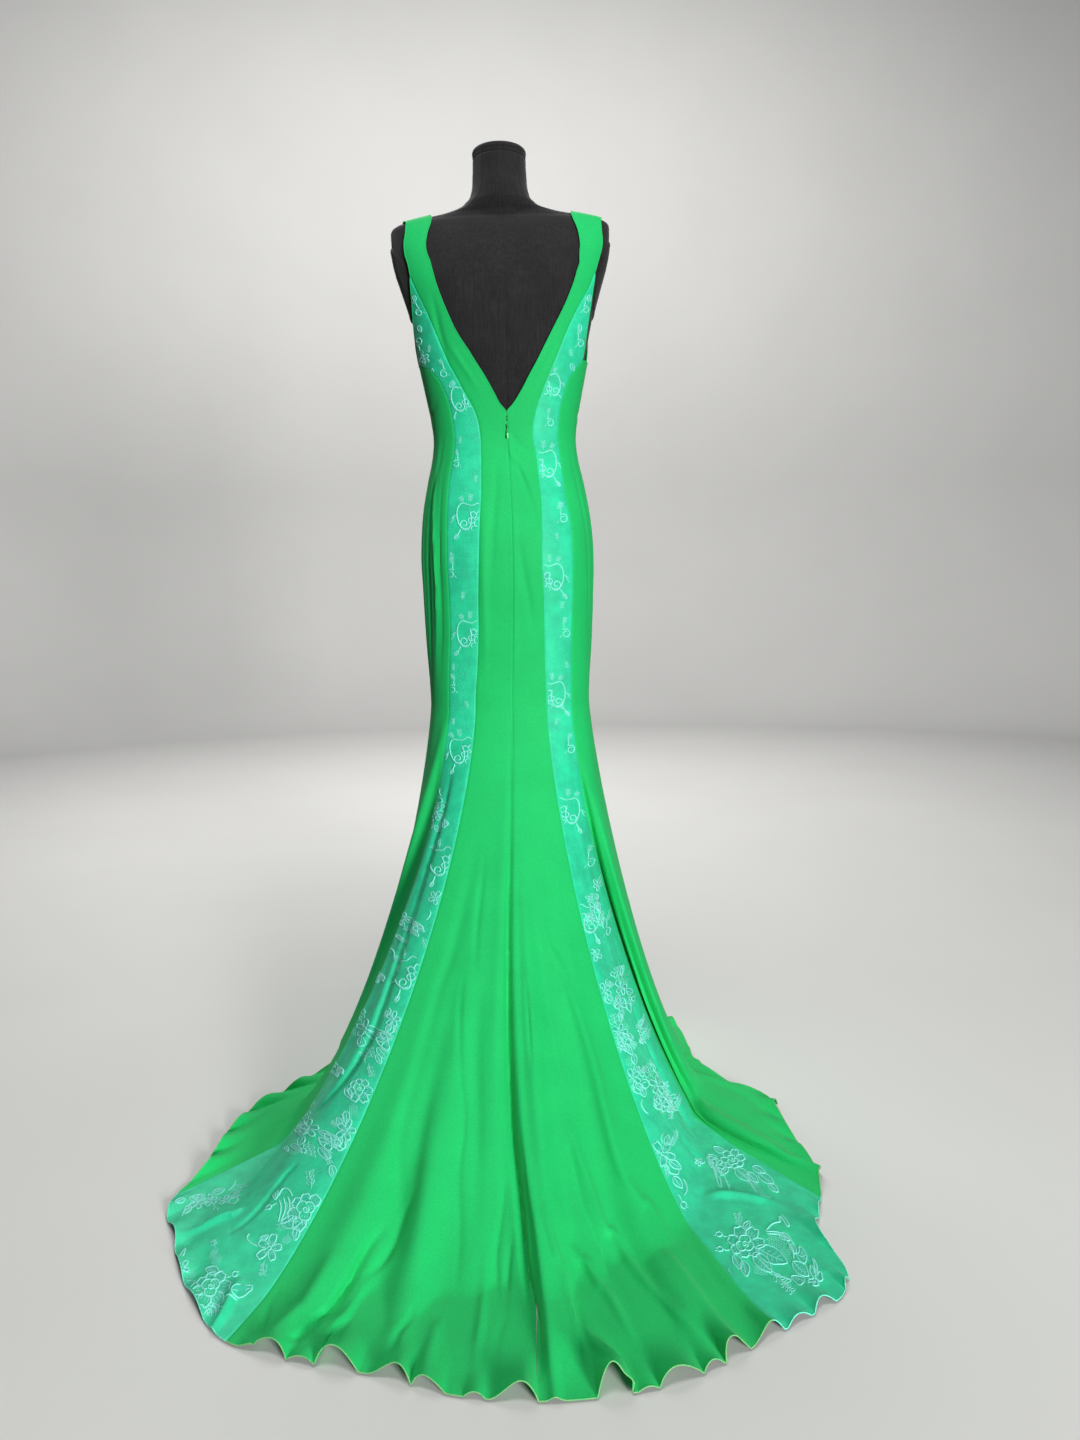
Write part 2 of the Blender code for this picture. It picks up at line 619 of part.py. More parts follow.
def ring_points(height, columns, size=None):
    half, back, front, square = size or form_size(height)
    points = []
    for column in range(columns):
        angle = 2.0 * math.pi * column / columns
        sine, cosine = math.sin(angle), math.cos(angle)
        x = math.copysign(abs(sine) ** (2.0 / square) * half, sine)
        depth = back if cosine > 0.0 else front
        y = math.copysign(abs(cosine) ** (2.0 / square) * depth, cosine)
        points.append(tilted(Vector((x, y, height))))
    return points


def skin_rings(rings):
    """Closed body through rings of equal numbers of points, with flat ends."""
    bm = bmesh.new()
    loops = [[bm.verts.new(point) for point in ring] for ring in rings]
    count = len(loops[0])
    for lower, upper in zip(loops, loops[1:]):
        for k in range(count):
            bm.faces.new((lower[k], lower[(k + 1) % count], upper[(k + 1) % count], upper[k]))
    bm.faces.new(loops[0])
    bm.faces.new(loops[-1])
    bmesh.ops.recalc_face_normals(bm, faces=bm.faces[:])
    return bm


def build_form(cloth):
    torso = skin_rings([ring_points(height, FORM_SIDES) for height in FORM_ROWS])
    add_object("form_torso", torso, cloth)
    half, back, front, square = form_size(NECK_TOP)
    rings = []
    for share, rise in CAP_PROFILE:
        size = (half * share, back * share, front * share, square)
        rings.append(ring_points(NECK_TOP + SEAT_GAP + CAP_HEIGHT * rise, CAP_SIDES, size))
    add_object("neck_cap", skin_rings(rings), cloth)


def build_stand(metal):
    def disc(radius, height):
        turns = (2.0 * math.pi * k / STAND_SIDES for k in range(STAND_SIDES))
        return [(radius * math.sin(turn), radius * math.cos(turn), height) for turn in turns]

    base = skin_rings([disc(BASE_RADIUS * wide, BASE_HEIGHT * high) for wide, high in BASE_PROFILE])
    add_object("stand_base", base, metal)
    ends = (BASE_HEIGHT + SEAT_GAP, FORM_BOTTOM - SEAT_GAP)
    add_object("stand_pole", skin_rings([disc(POLE_RADIUS, height) for height in ends]), metal)


def rounded_box(size, bevel):
    bm = bmesh.new()
    bmesh.ops.create_cube(bm, size=1.0)
    bmesh.ops.scale(bm, vec=size, verts=bm.verts[:])
    bmesh.ops.bevel(bm, geom=bm.edges[:], offset=bevel, segments=1, affect="EDGES")
    return bm


def wire_loop():
    """A flat oval of wire in the XZ plane."""
    bm = bmesh.new()
    loops = []
    for k in range(LOOP_TURNS):
        angle = 2.0 * math.pi * k / LOOP_TURNS
        outward = Vector((math.sin(angle), 0.0, math.cos(angle)))
        centre = Vector((LOOP_HALF_WIDTH * outward.x, 0.0, LOOP_HALF_HEIGHT * outward.z))
        loop = []
        for side in range(WIRE_SIDES):
            turn = 2.0 * math.pi * side / WIRE_SIDES
            offset = outward * math.cos(turn) + Vector((0.0, math.sin(turn), 0.0))
            loop.append(bm.verts.new(centre + offset * WIRE_RADIUS))
        loops.append(loop)
    for k in range(LOOP_TURNS):
        here, there = loops[k], loops[(k + 1) % LOOP_TURNS]
        for s in range(WIRE_SIDES):
            following = (s + 1) % WIRE_SIDES
            bm.faces.new((here[s], here[following], there[following], there[s]))
    bmesh.ops.recalc_face_normals(bm, faces=bm.faces[:])
    return bm


def pull_tab():
    """The tab, hanging in the XZ plane from its hinge at the origin."""
    points = [(half, -PULL_LENGTH * share) for half, share in PULL_PROFILE]
    points += [(-x, z) for x, z in reversed(points[:-1])]
    bm = bmesh.new()
    front = [bm.verts.new((x, PULL_THICK / 2.0, z)) for x, z in points]
    back = [bm.verts.new((x, -PULL_THICK / 2.0, z)) for x, z in points]
    bm.faces.new(front)
    bm.faces.new(back)
    for k in range(len(points)):
        following = (k + 1) % len(points)
        bm.faces.new((front[k], front[following], back[following], back[k]))
    bmesh.ops.recalc_face_normals(bm, faces=bm.faces[:])
    return bm


def build_fastenings(metal):
    """Hook, eye, slider and pull tab, from the point of the V down the centre back seam."""
    for name, drop in (("eye", EYE_BELOW_V), ("hook", HOOK_BELOW_V)):
        loop = add_object(name, wire_loop(), metal)
        height = BACK_NECK - drop
        loop.location = (0.0, body_point(height, 0.0).y + FASTENING_GAP + WIRE_RADIUS, height)
    middle = BACK_NECK - SLIDER_BELOW_V
    heights = (middle - SLIDER_HEIGHT / 2.0, middle, middle + SLIDER_HEIGHT / 2.0)
    seat = max(body_point(height, 0.0).y for height in heights) + FASTENING_GAP
    size = (SLIDER_WIDTH, SLIDER_DEPTH, SLIDER_HEIGHT)
    slider = add_object("zip_slider", rounded_box(size, SLIDER_BEVEL), metal)
    slider.location = (0.0, seat + SLIDER_DEPTH / 2.0, middle)
    pull = add_object("zip_pull", pull_tab(), metal)
    hinge_y = seat + SLIDER_DEPTH + SEAT_GAP + PULL_THICK / 2.0
    pull.location = (0.0, hinge_y, middle - PULL_HINGE_DROP)


def main():
    clear_scene()
    materials = {name: make_material(name) for name in MATERIALS}
    green, lace = materials["green_crepe"], materials["turquoise_lace"]
    build_panel("centre_back_left", "centre_back", SHOULDER, 0.0, 1.0, green)
    build_panel("centre_back_right", "centre_back", SHOULDER, -1.0, 0.0, green)
    build_panel("lace_back_left", "lace", LACE_TOP, 1.0, 2.0, lace)
    build_panel("lace_back_right", "lace", LACE_TOP, -2.0, -1.0, lace)
    build_panel("side_left", "side", UNDERARM, 2.0, 3.0, green)
    build_panel("side_right", "side", UNDERARM, -3.0, -2.0, green)
    build_front(green)
    build_form(materials["form_cloth"])
    build_stand(materials["stand_metal"])
    build_fastenings(materials["painted_zip"])


main()
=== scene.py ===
"""Looks of a mermaid prom dress on a dress form: cloth panels, corded lace, zip, form and stage.

The wearer's left is +X and the train lies towards +Y. Sizes are in metres unless a name says so.
A place round the dress is counted in panels from the centre back: 1 and 2 are the lace's seams, 3 is
the side seam and 4 the centre front, positive on the wearer's left. A station is a height down to
the knee, then the height of the slope, and from 0 to -1 the share of the cloth lying on the floor.
"""
import math

import bpy
import numpy as np
from bpy.props import FloatProperty, FloatVectorProperty, PointerProperty
from bpy.types import Operator, Panel, PropertyGroup
from mathutils import Matrix, Vector


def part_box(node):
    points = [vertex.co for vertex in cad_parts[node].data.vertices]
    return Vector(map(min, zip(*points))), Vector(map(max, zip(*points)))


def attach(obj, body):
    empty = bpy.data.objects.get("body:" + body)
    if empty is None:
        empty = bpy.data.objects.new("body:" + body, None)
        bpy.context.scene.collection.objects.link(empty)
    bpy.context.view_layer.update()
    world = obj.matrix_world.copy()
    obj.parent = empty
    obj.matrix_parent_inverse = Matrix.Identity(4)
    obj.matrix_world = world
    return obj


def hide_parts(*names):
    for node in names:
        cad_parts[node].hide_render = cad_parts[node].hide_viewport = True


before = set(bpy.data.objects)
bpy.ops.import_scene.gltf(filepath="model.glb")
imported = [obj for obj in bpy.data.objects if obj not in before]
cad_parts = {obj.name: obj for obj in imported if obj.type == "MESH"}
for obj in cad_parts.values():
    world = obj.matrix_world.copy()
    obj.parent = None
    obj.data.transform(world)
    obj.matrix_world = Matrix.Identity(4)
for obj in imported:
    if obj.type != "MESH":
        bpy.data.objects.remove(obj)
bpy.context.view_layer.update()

bl_info = {
    "name": "Mermaid Prom Dress",
    "version": (1, 0, 0),
    "blender": (4, 5, 0),
    "location": "View3D > Sidebar > Dress",
    "description": "Builds a mermaid gown with corded lace inserts and a train on a dress form",
    "category": "Object",
}

CAMERA_PLACE = (0.1047, 1.9973, 0.87)

# The figure and the cut, as in the solids
WALL = 0.0016
PIVOT = 1.42
SHOULDER = 1.51
BACK_NECK = 1.17
FRONT_NECK = 1.31
LACE_TOP = 1.405
UNDERARM = 1.265
KNEE = 0.66
FLARE_BACK = 2.82
FLARE_SIDE = 2.50
FLOOR_LIFT = 0.0019
FLOOR_SOFTNESS = 0.002
SHOULDER_EASE = 0.0023
BODY_EASE = 0.0030
FORM_INSET = 0.0015
TILT = 0.036
NECK_TOP = 1.620
SHORTEST_LYING = 0.009
FOLD_AT_KNEE = 0.18
FOLD_GROWTH = 0.45

# Rings of the figure: height, half width, depth behind and before the axis, squareness
FIGURE = (
    (0.660, 0.1420, 0.088, 0.095, 2.3),
    (0.700, 0.1430, 0.090, 0.097, 2.3),
    (0.760, 0.1465, 0.096, 0.100, 2.3),
    (0.820, 0.1490, 0.105, 0.103, 2.3),
    (0.870, 0.1505, 0.113, 0.106, 2.3),
    (0.920, 0.1520, 0.117, 0.108, 2.3),
    (0.960, 0.1505, 0.115, 0.108, 2.3),
    (1.010, 0.1455, 0.106, 0.104, 2.3),
    (1.060, 0.1360, 0.090, 0.098, 2.3),
    (1.100, 0.1270, 0.079, 0.094, 2.3),
    (1.135, 0.1235, 0.075, 0.094, 2.3),
    (1.170, 0.1275, 0.079, 0.102, 2.3),
    (1.220, 0.1370, 0.088, 0.118, 2.3),
    (1.270, 0.1470, 0.097, 0.128, 2.3),
    (1.320, 0.1570, 0.098, 0.120, 2.3),
    (1.360, 0.1660, 0.096, 0.108, 2.4),
    (1.400, 0.1780, 0.091, 0.092, 2.5),
    (1.430, 0.1870, 0.083, 0.078, 2.6),
    (1.465, 0.1930, 0.070, 0.060, 2.8),
    (1.490, 0.1940, 0.059, 0.048, 2.8),
    (1.504, 0.1840, 0.050, 0.040, 2.7),
    (1.512, 0.1580, 0.044, 0.036, 2.5),
    (1.519, 0.1200, 0.043, 0.035, 2.3),
    (1.527, 0.0850, 0.049, 0.039, 2.2),
    (1.540, 0.0620, 0.056, 0.045, 2.1),
    (1.558, 0.0520, 0.057, 0.047, 2.0),
    (1.585, 0.0490, 0.053, 0.047, 2.0),
    (1.620, 0.0480, 0.051, 0.047, 2.0),
)

# Seams of the back, in degrees from the centre back
BACK_COLUMNS = (
    "height", "right_outer", "right_inner", "right_edge", "left_edge", "left_inner", "left_outer",
)
BACK_SEAMS = (
    (0.660, -57.4, -34.8, 1.0, 1.0, 38.0, 60.5),
    (0.740, -55.3, -32.0, -0.2, -0.2, 33.5, 57.0),
    (0.800, -53.0, -29.7, -0.8, -0.8, 30.0, 53.0),
    (0.850, -51.5, -27.5, -1.2, -1.2, 28.0, 50.8),
    (0.910, -49.8, -24.8, -1.4, -1.4, 25.6, 49.7),
    (0.970, -50.0, -26.0, -1.5, -1.5, 25.0, 50.3),
    (1.020, -50.3, -28.5, -1.4, -1.4, 25.3, 52.5),
    (1.060, -52.8, -30.5, -1.2, -1.2, 27.5, 55.3),
    (1.100, -55.6, -32.2, -0.8, -0.8, 30.0, 56.2),
    (1.135, -56.3, -30.2, -0.3, -0.3, 31.7, 56.6),
    (1.170, -55.6, -32.0, 0.3, 0.3, 34.5, 56.7),
    (1.185, -55.8, -33.7, -7.5, 8.0, 37.5, 57.0),
    (1.205, -57.0, -36.8, -15.5, 14.5, 42.0, 58.3),
    (1.235, -60.5, -41.0, -24.0, 23.5, 47.5, 63.5),
    (1.250, -65.0, -43.2, -28.0, 28.0, 50.2, 69.5),
    (1.265, -70.5, -45.5, -31.5, 32.0, 52.5, 84.0),
    (1.305, -71.0, -52.3, -41.0, 42.8, 58.0, 81.0),
    (1.345, -71.0, -59.8, -49.8, 49.6, 63.0, 75.5),
    (1.385, -70.4, -67.5, -56.3, 54.7, 68.0, 71.5),
    (1.405, -70.6, -69.9, -58.8, 56.8, 69.9, 70.6),
    (1.420, -71.4, -71.4, -61.0, 58.6, 70.5, 70.5),
    (1.440, -72.3, -72.3, -61.4, 60.8, 71.0, 71.0),
    (1.450, -71.9, -71.9, -60.6, 60.3, 70.3, 70.3),
    (1.465, -69.7, -69.7, -57.5, 57.1, 67.7, 67.7),
    (1.477, -66.1, -66.1, -53.0, 52.7, 63.7, 63.7),
    (1.488, -63.1, -63.1, -50.6, 50.6, 61.0, 61.0),
    (1.510, -63.0, -63.0, -51.0, 51.0, 61.8, 61.8),
)

# The front's edges, in degrees from the centre front, alike on both sides
FRONT_COLUMNS = ("height", "neck", "side")
FRONT_EDGES = (
    (0.660, 0.0, 85.0),
    (1.265, 0.0, 85.0),
    (1.310, 0.6, 79.0),
    (1.325, 16.0, 76.0),
    (1.345, 30.0, 73.5),
    (1.385, 48.0, 70.0),
    (1.420, 57.0, 70.0),
    (1.440, 60.0, 71.0),
    (1.465, 57.2, 68.5),
    (1.477, 53.0, 65.0),
    (1.488, 50.8, 62.4),
    (1.510, 51.0, 62.4),
)

# Angles at which the seams reach the hem, in degrees, by side
HEM_SEAMS = {1: (2.1, 25.8, 47.5, 93.0, 180.0), -1: (2.1, -16.2, -33.8, -93.0, -180.0)}
HEM_SIDE_SEAM = 93.0

# The hem seen from above: angle, distance from the axis, run from the knee to the floor
HEM = (
    (-180.0, 0.300, 0.180), (-150.0, 0.303, 0.178), (-120.0, 0.312, 0.176), (-93.0, 0.320, 0.174),
    (-76.0, 0.330, 0.176), (-66.0, 0.352, 0.186), (-60.0, 0.398, 0.200), (-57.0, 0.438, 0.210),
    (-54.0, 0.508, 0.230), (-50.0, 0.540, 0.255), (-46.0, 0.572, 0.270), (-42.0, 0.616, 0.290),
    (-38.0, 0.674, 0.310), (-33.8, 0.712, 0.335), (-30.5, 0.742, 0.375), (-28.4, 0.768, 0.410),
    (-26.4, 0.838, 0.445), (-23.8, 0.874, 0.480), (-21.0, 0.884, 0.520), (-16.2, 0.897, 0.580),
    (-8.0, 0.933, 0.640), (0.0, 0.940, 0.700), (7.0, 0.930, 0.720), (14.0, 0.905, 0.722),
    (20.0, 0.902, 0.722), (25.8, 0.896, 0.720), (32.0, 0.850, 0.660), (40.0, 0.780, 0.550),
    (47.5, 0.712, 0.430), (49.3, 0.672, 0.405), (52.0, 0.636, 0.370), (55.5, 0.602, 0.330),
    (59.5, 0.562, 0.290), (64.0, 0.512, 0.250), (68.0, 0.452, 0.220), (72.0, 0.410, 0.200),
    (77.0, 0.358, 0.185), (83.0, 0.340, 0.178), (93.0, 0.330, 0.176), (120.0, 0.316, 0.176),
    (150.0, 0.303, 0.178), (180.0, 0.300, 0.180),
)

# Folds of the skirt: place at the knee and at the hem, half width in panels, rise, top height
FOLDS = (
    (0.10, 0.14, 0.10, -0.016, 0.50),
    (-0.10, -0.10, 0.09, 0.015, 0.55),
    (-0.20, -0.26, 0.08, -0.010, 0.40),
    (0.40, 0.33, 0.11, -0.012, 0.40),
    (0.68, 0.60, 0.09, -0.013, 0.42),
    (0.55, 0.47, 0.09, 0.010, 0.42),
    (0.80, 0.80, 0.10, 0.014, 0.40),
    (-0.50, -0.52, 0.10, -0.009, 0.42),
    (-0.66, -0.70, 0.10, 0.012, 0.50),
    (1.45, 1.40, 0.30, 0.018, 0.62),
    (1.90, 1.92, 0.16, -0.012, 0.50),
    (2.30, 2.20, 0.14, 0.018, 0.60),
    (2.66, 2.62, 0.16, 0.012, 0.60),
    (2.46, 2.42, 0.10, -0.010, 0.50),
    (-1.50, -1.55, 0.26, -0.008, 0.50),
    (-2.20, -2.22, 0.16, 0.016, 0.58),
    (-2.55, -2.60, 0.14, -0.007, 0.50),
    (3.20, 3.20, 0.07, 0.012, 0.50),
    (3.45, 3.45, 0.07, -0.012, 0.50),
    (3.70, 3.70, 0.07, 0.012, 0.50),
    (-3.20, -3.20, 0.07, 0.012, 0.50),
    (-3.45, -3.45, 0.07, -0.012, 0.50),
    (-3.70, -3.70, 0.07, 0.012, 0.50),
)

# Arches of the ruffled hem: the angles between which the edge lifts off the floor, its lift, how far
# it draws in, and where its top lies between the two ends
ARCHES = (
    (24.9, 20.5, 0.016, 0.008, 0.66), (20.5, 18.2, 0.006, 0.003, 0.50), (18.2, 14.9, 0.022, 0.009, 0.36),
    (14.3, 10.9, 0.017, 0.006, 0.68), (10.8, 8.4, 0.011, 0.004, 0.42), (7.1, 5.6, 0.006, 0.002, 0.50),
    (5.4, 2.1, 0.019, 0.007, 0.66), (-1.8, -4.1, 0.032, 0.012, 0.50), (-4.6, -6.0, 0.004, 0.001, 0.50),
    (-6.1, -9.4, 0.017, 0.005, 0.40), (-9.4, -11.2, 0.009, 0.004, 0.45),
    (-11.3, -13.6, 0.020, 0.008, 0.28), (-13.6, -17.0, 0.013, 0.008, 0.70),
    (-17.4, -19.8, 0.008, 0.004, 0.50), (-20.2, -22.6, 0.010, 0.008, 0.50),
    (-24.3, -25.4, 0.008, 0.004, 0.50), (-27.2, -30.2, 0.010, 0.004, 0.50),
    (-31.0, -33.0, 0.007, 0.002, 0.50), (-34.6, -38.2, 0.010, 0.004, 0.50),
    (-39.0, -42.6, 0.012, 0.008, 0.50), (-43.4, -47.4, 0.014, 0.010, 0.50),
    (-48.2, -52.6, 0.014, 0.010, 0.50), (-53.4, -57.4, 0.008, 0.006, 0.50),
    (-58.4, -66.0, 0.006, 0.002, 0.50), (-67.5, -78.0, 0.004, 0.001, 0.50),
    (29.0, 33.4, 0.008, 0.002, 0.50), (34.2, 38.0, 0.007, 0.002, 0.50), (38.8, 43.2, 0.008, 0.004, 0.50),
    (44.0, 46.8, 0.006, 0.002, 0.50), (49.0, 52.6, 0.014, 0.014, 0.30), (53.2, 57.6, 0.014, 0.012, 0.30),
    (58.2, 62.6, 0.014, 0.012, 0.30), (63.2, 67.4, 0.014, 0.012, 0.30), (68.2, 73.0, 0.012, 0.010, 0.30),
    (74.0, 80.0, 0.010, 0.006, 0.50), (81.0, 89.0, 0.010, 0.004, 0.50),
)
FRONT_WAVES = 16
FRONT_WAVE_LIFT = 0.010
WAVE_REACH = 0.085


def curve(rows, key, column):
    """Values of a table's column at many keys, on a smooth curve that never overshoots its rows."""
    keys = np.array([row[0] for row in rows])
    values = np.array([row[column] for row in rows])
    step = np.diff(keys)
    slope = np.diff(values) / step
    before, after = slope[:-1], slope[1:]
    even = (before * step[1:] + after * step[:-1]) / (step[:-1] + step[1:])
    most = 3.0 * np.minimum(np.abs(before), np.abs(after))
    tangent = np.zeros(len(rows))
    tangent[1:-1] = np.where(before * after > 0.0, np.sign(even) * np.minimum(np.abs(even), most), 0.0)
    key = np.clip(key, keys[0], keys[-1])
    low = np.clip(np.searchsorted(keys, key, side="right") - 1, 0, len(rows) - 2)
    t = (key - keys[low]) / step[low]
    found = values[low] + tangent[low] * step[low] * t * (1.0 - t) ** 2
    found = found + (values[low + 1] - values[low]) * t * t * (3.0 - 2.0 * t)
    return found - tangent[low + 1] * step[low] * t * t * (1.0 - t)


def ease_step(low, high, value):
    t = np.clip((value - low) / (high - low), 0.0, 1.0)
    return t * t * (3.0 - 2.0 * t)


def unit(vectors):
    return vectors / np.maximum(np.linalg.norm(vectors, axis=-1, keepdims=True), 1e-12)


def lengths_along(line):
    """Length of the way from a line's first point to each of its points."""
    return np.concatenate([[0.0], np.cumsum(np.linalg.norm(np.diff(line, axis=0), axis=1))])


def figure_size(height):
    return [curve(FIGURE, height, column) for column in range(1, 5)]


def ring_radius(height, angle):
    half, back, front, square = figure_size(height)
    depth = np.where(np.cos(angle) > 0.0, back, front)
    across = (np.abs(np.sin(angle)) / half) ** square
    along = (np.abs(np.cos(angle)) / depth) ** square
    return (across + along) ** (-1.0 / square)


def fan_radius(direction):
    """Distance of the figure's surface from the pivot of the shoulder rows, along directions."""
    low = np.full(direction.shape[0], 0.02)
    high = np.full(direction.shape[0], 0.40)
    for _ in range(26):
        middle = (low + high) / 2.0
        point = direction * middle[:, None]
        height = PIVOT + point[:, 2]
        half, back, front, square = figure_size(height)
        depth = np.where(point[:, 1] > 0.0, back, front)
        filled = (np.abs(point[:, 0]) / half) ** square + (np.abs(point[:, 1]) / depth) ** square
        inside = (height < NECK_TOP) & (filled < 1.0)
        low = np.where(inside, middle, low)
        high = np.where(inside, high, middle)
    return low


def tilted(points):
    """The same points with the slant of the form's shoulders."""
    height = points[:, 2]
    share = ease_step(1.22, 1.50, height) * (1.0 - ease_step(1.520, 1.550, height))
    moved = points.copy()
    moved[:, 2] -= TILT * points[:, 0] * share
    return moved


def body_point(station, angle):
    """Outer face of the cloth above the knee."""
    ease = SHOULDER_EASE + (BODY_EASE - SHOULDER_EASE) * ease_step(1.47, 1.38, station) + WALL
    radius = ring_radius(station, angle) + ease
    ring = np.stack([radius * np.sin(angle), radius * np.cos(angle), station], axis=1)
    over = station > PIVOT
    if over.any():
        turn = math.radians(90.0) * (station[over] - PIVOT) / (SHOULDER - PIVOT)
        sine, cosine = np.sin(angle[over]), np.cos(angle[over])
        direction = np.stack([sine, cosine * np.cos(turn), np.abs(cosine) * np.sin(turn)], axis=1)
        reach = fan_radius(direction) + ease[over]
        ring[over] = direction * reach[:, None] + np.array([0.0, 0.0, PIVOT])
    return tilted(ring)


def seam_angles(station, side):
    prefix = "left_" if side > 0 else "right_"
    columns = [BACK_COLUMNS.index(prefix + name) for name in ("edge", "inner", "outer")]
    angles = [curve(BACK_SEAMS, station, column) for column in columns]
    angles.append(side * (180.0 - curve(FRONT_EDGES, station, FRONT_COLUMNS.index("side"))))
    angles.append(side * (180.0 - curve(FRONT_EDGES, station, FRONT_COLUMNS.index("neck"))))
    return np.stack(angles)


def spread(angles, around):
    """Angle, in radians, at places counted in panels from the centre back."""
    place = np.minimum(np.abs(around), len(angles) - 1.0001)
    panel = place.astype(int)
    every = np.arange(len(place))
    low, high = angles[panel, every], angles[panel + 1, every]
    return np.radians(low + (high - low) * (place - panel))


def wave_at(angle):
    """Lift and draw of the hem at angles in degrees."""
    lift, draw = np.zeros_like(angle), np.zeros_like(angle)
    for start, end, high, inward, top in ARCHES:
        along = np.clip((angle - start) / (end - start), 0.0, 1.0) ** (math.log(0.5) / math.log(top))
        share = np.maximum(0.0, np.sin(math.pi * along)) ** 0.85
        lift += high * share
        draw += inward * share
    front = np.abs(angle) > HEM_SIDE_SEAM
    turn = (np.abs(angle) - HEM_SIDE_SEAM) / (180.0 - HEM_SIDE_SEAM)
    lift += front * FRONT_WAVE_LIFT * (0.5 - 0.5 * np.cos(math.pi * FRONT_WAVES * turn))
    return lift, draw


def fold_at(around, down):
    rise = np.zeros_like(around)
    for knee_at, hem_at, half_width, high, top in FOLDS:
        start = 1.0 - top / KNEE
        share = np.exp(-((around - knee_at - (hem_at - knee_at) * down) / half_width) ** 2)
        rise += high * ease_step(start, start + FOLD_GROWTH, down) * share
    return rise


def skirt_point(station, around, side):
    """Outer face of the skirt below the knee."""
    knee = np.full(len(station), KNEE)
    knee_angle = spread(seam_angles(knee, side), around)
    hem_seams = np.repeat(np.array(HEM_SEAMS[side])[:, None], len(station), axis=1)
    hem_angle = spread(hem_seams, around)
    start = body_point(knee, knee_angle)
    lift, draw = wave_at(np.degrees(hem_angle))
    radius = curve(HEM, np.degrees(hem_angle), 1) - draw
    hem = np.stack([radius * np.sin(hem_angle), radius * np.cos(hem_angle), knee], axis=1)
    length = np.linalg.norm(hem - start, axis=1)
    way = unit(hem - start)
    run = np.minimum(curve(HEM, np.degrees(hem_angle), 2), length - SHORTEST_LYING)
    slope = math.radians(90.0) * (1.0 - np.maximum(0.0, station) / KNEE)
    flare = FLARE_SIDE + (FLARE_BACK - FLARE_SIDE) * ease_step(0.20, 0.40, run)
    on_floor = station <= 0.0
    cosine = np.clip(np.cos(slope), 0.0, 1.0)
    distance = np.where(on_floor, run - (length - run) * station, run * np.sin(slope) ** flare)
    height = np.where(on_floor, 0.0, (KNEE - FLOOR_LIFT) * cosine ** flare)
    to_hem = length - distance
    opened = FOLD_AT_KNEE + (1.0 - FOLD_AT_KNEE) * distance / length
    rise = fold_at(around, slope / math.radians(90.0)) * opened * ease_step(0.0, 0.10, to_hem)
    edge = np.maximum(0.0, 1.0 - to_hem / WAVE_REACH)
    point = start + way * (distance + rise * cosine)[:, None]
    above = height + rise * np.sin(slope)
    above = (above + np.sqrt(above * above + FLOOR_SOFTNESS * FLOOR_SOFTNESS)) / 2.0
    point[:, 2] = FLOOR_LIFT + above + lift * edge * edge
    return point


def cloth_point(station, around):
    """Outer face of the cloth at stations and places round the dress."""
    point = np.zeros((len(station), 3))
    for side in (1, -1):
        here = around >= 0.0 if side > 0 else around < 0.0
        upper = here & (station >= KNEE)
        lower = here & (station < KNEE)
        if upper.any():
            angle = spread(seam_angles(station[upper], side), around[upper])
            point[upper] = body_point(station[upper], angle)
        if lower.any():
            point[lower] = skirt_point(station[lower], around[lower], side)
    return point


def cloth_normal(station, around):
    """Outward normal of the cloth, from steps to either side that stay within one panel."""
    middle = np.floor(around) + 0.5
    inward = np.where(around < middle, 1.0, -1.0)
    across = cloth_point(station, around + 0.004 * inward) - cloth_point(station, around)
    across = across * inward[:, None]
    above = cloth_point(np.minimum(station + 0.002, SHOULDER), around)
    below = cloth_point(np.maximum(station - 0.002, -1.0), around)
    return unit(np.cross(across, below - above))


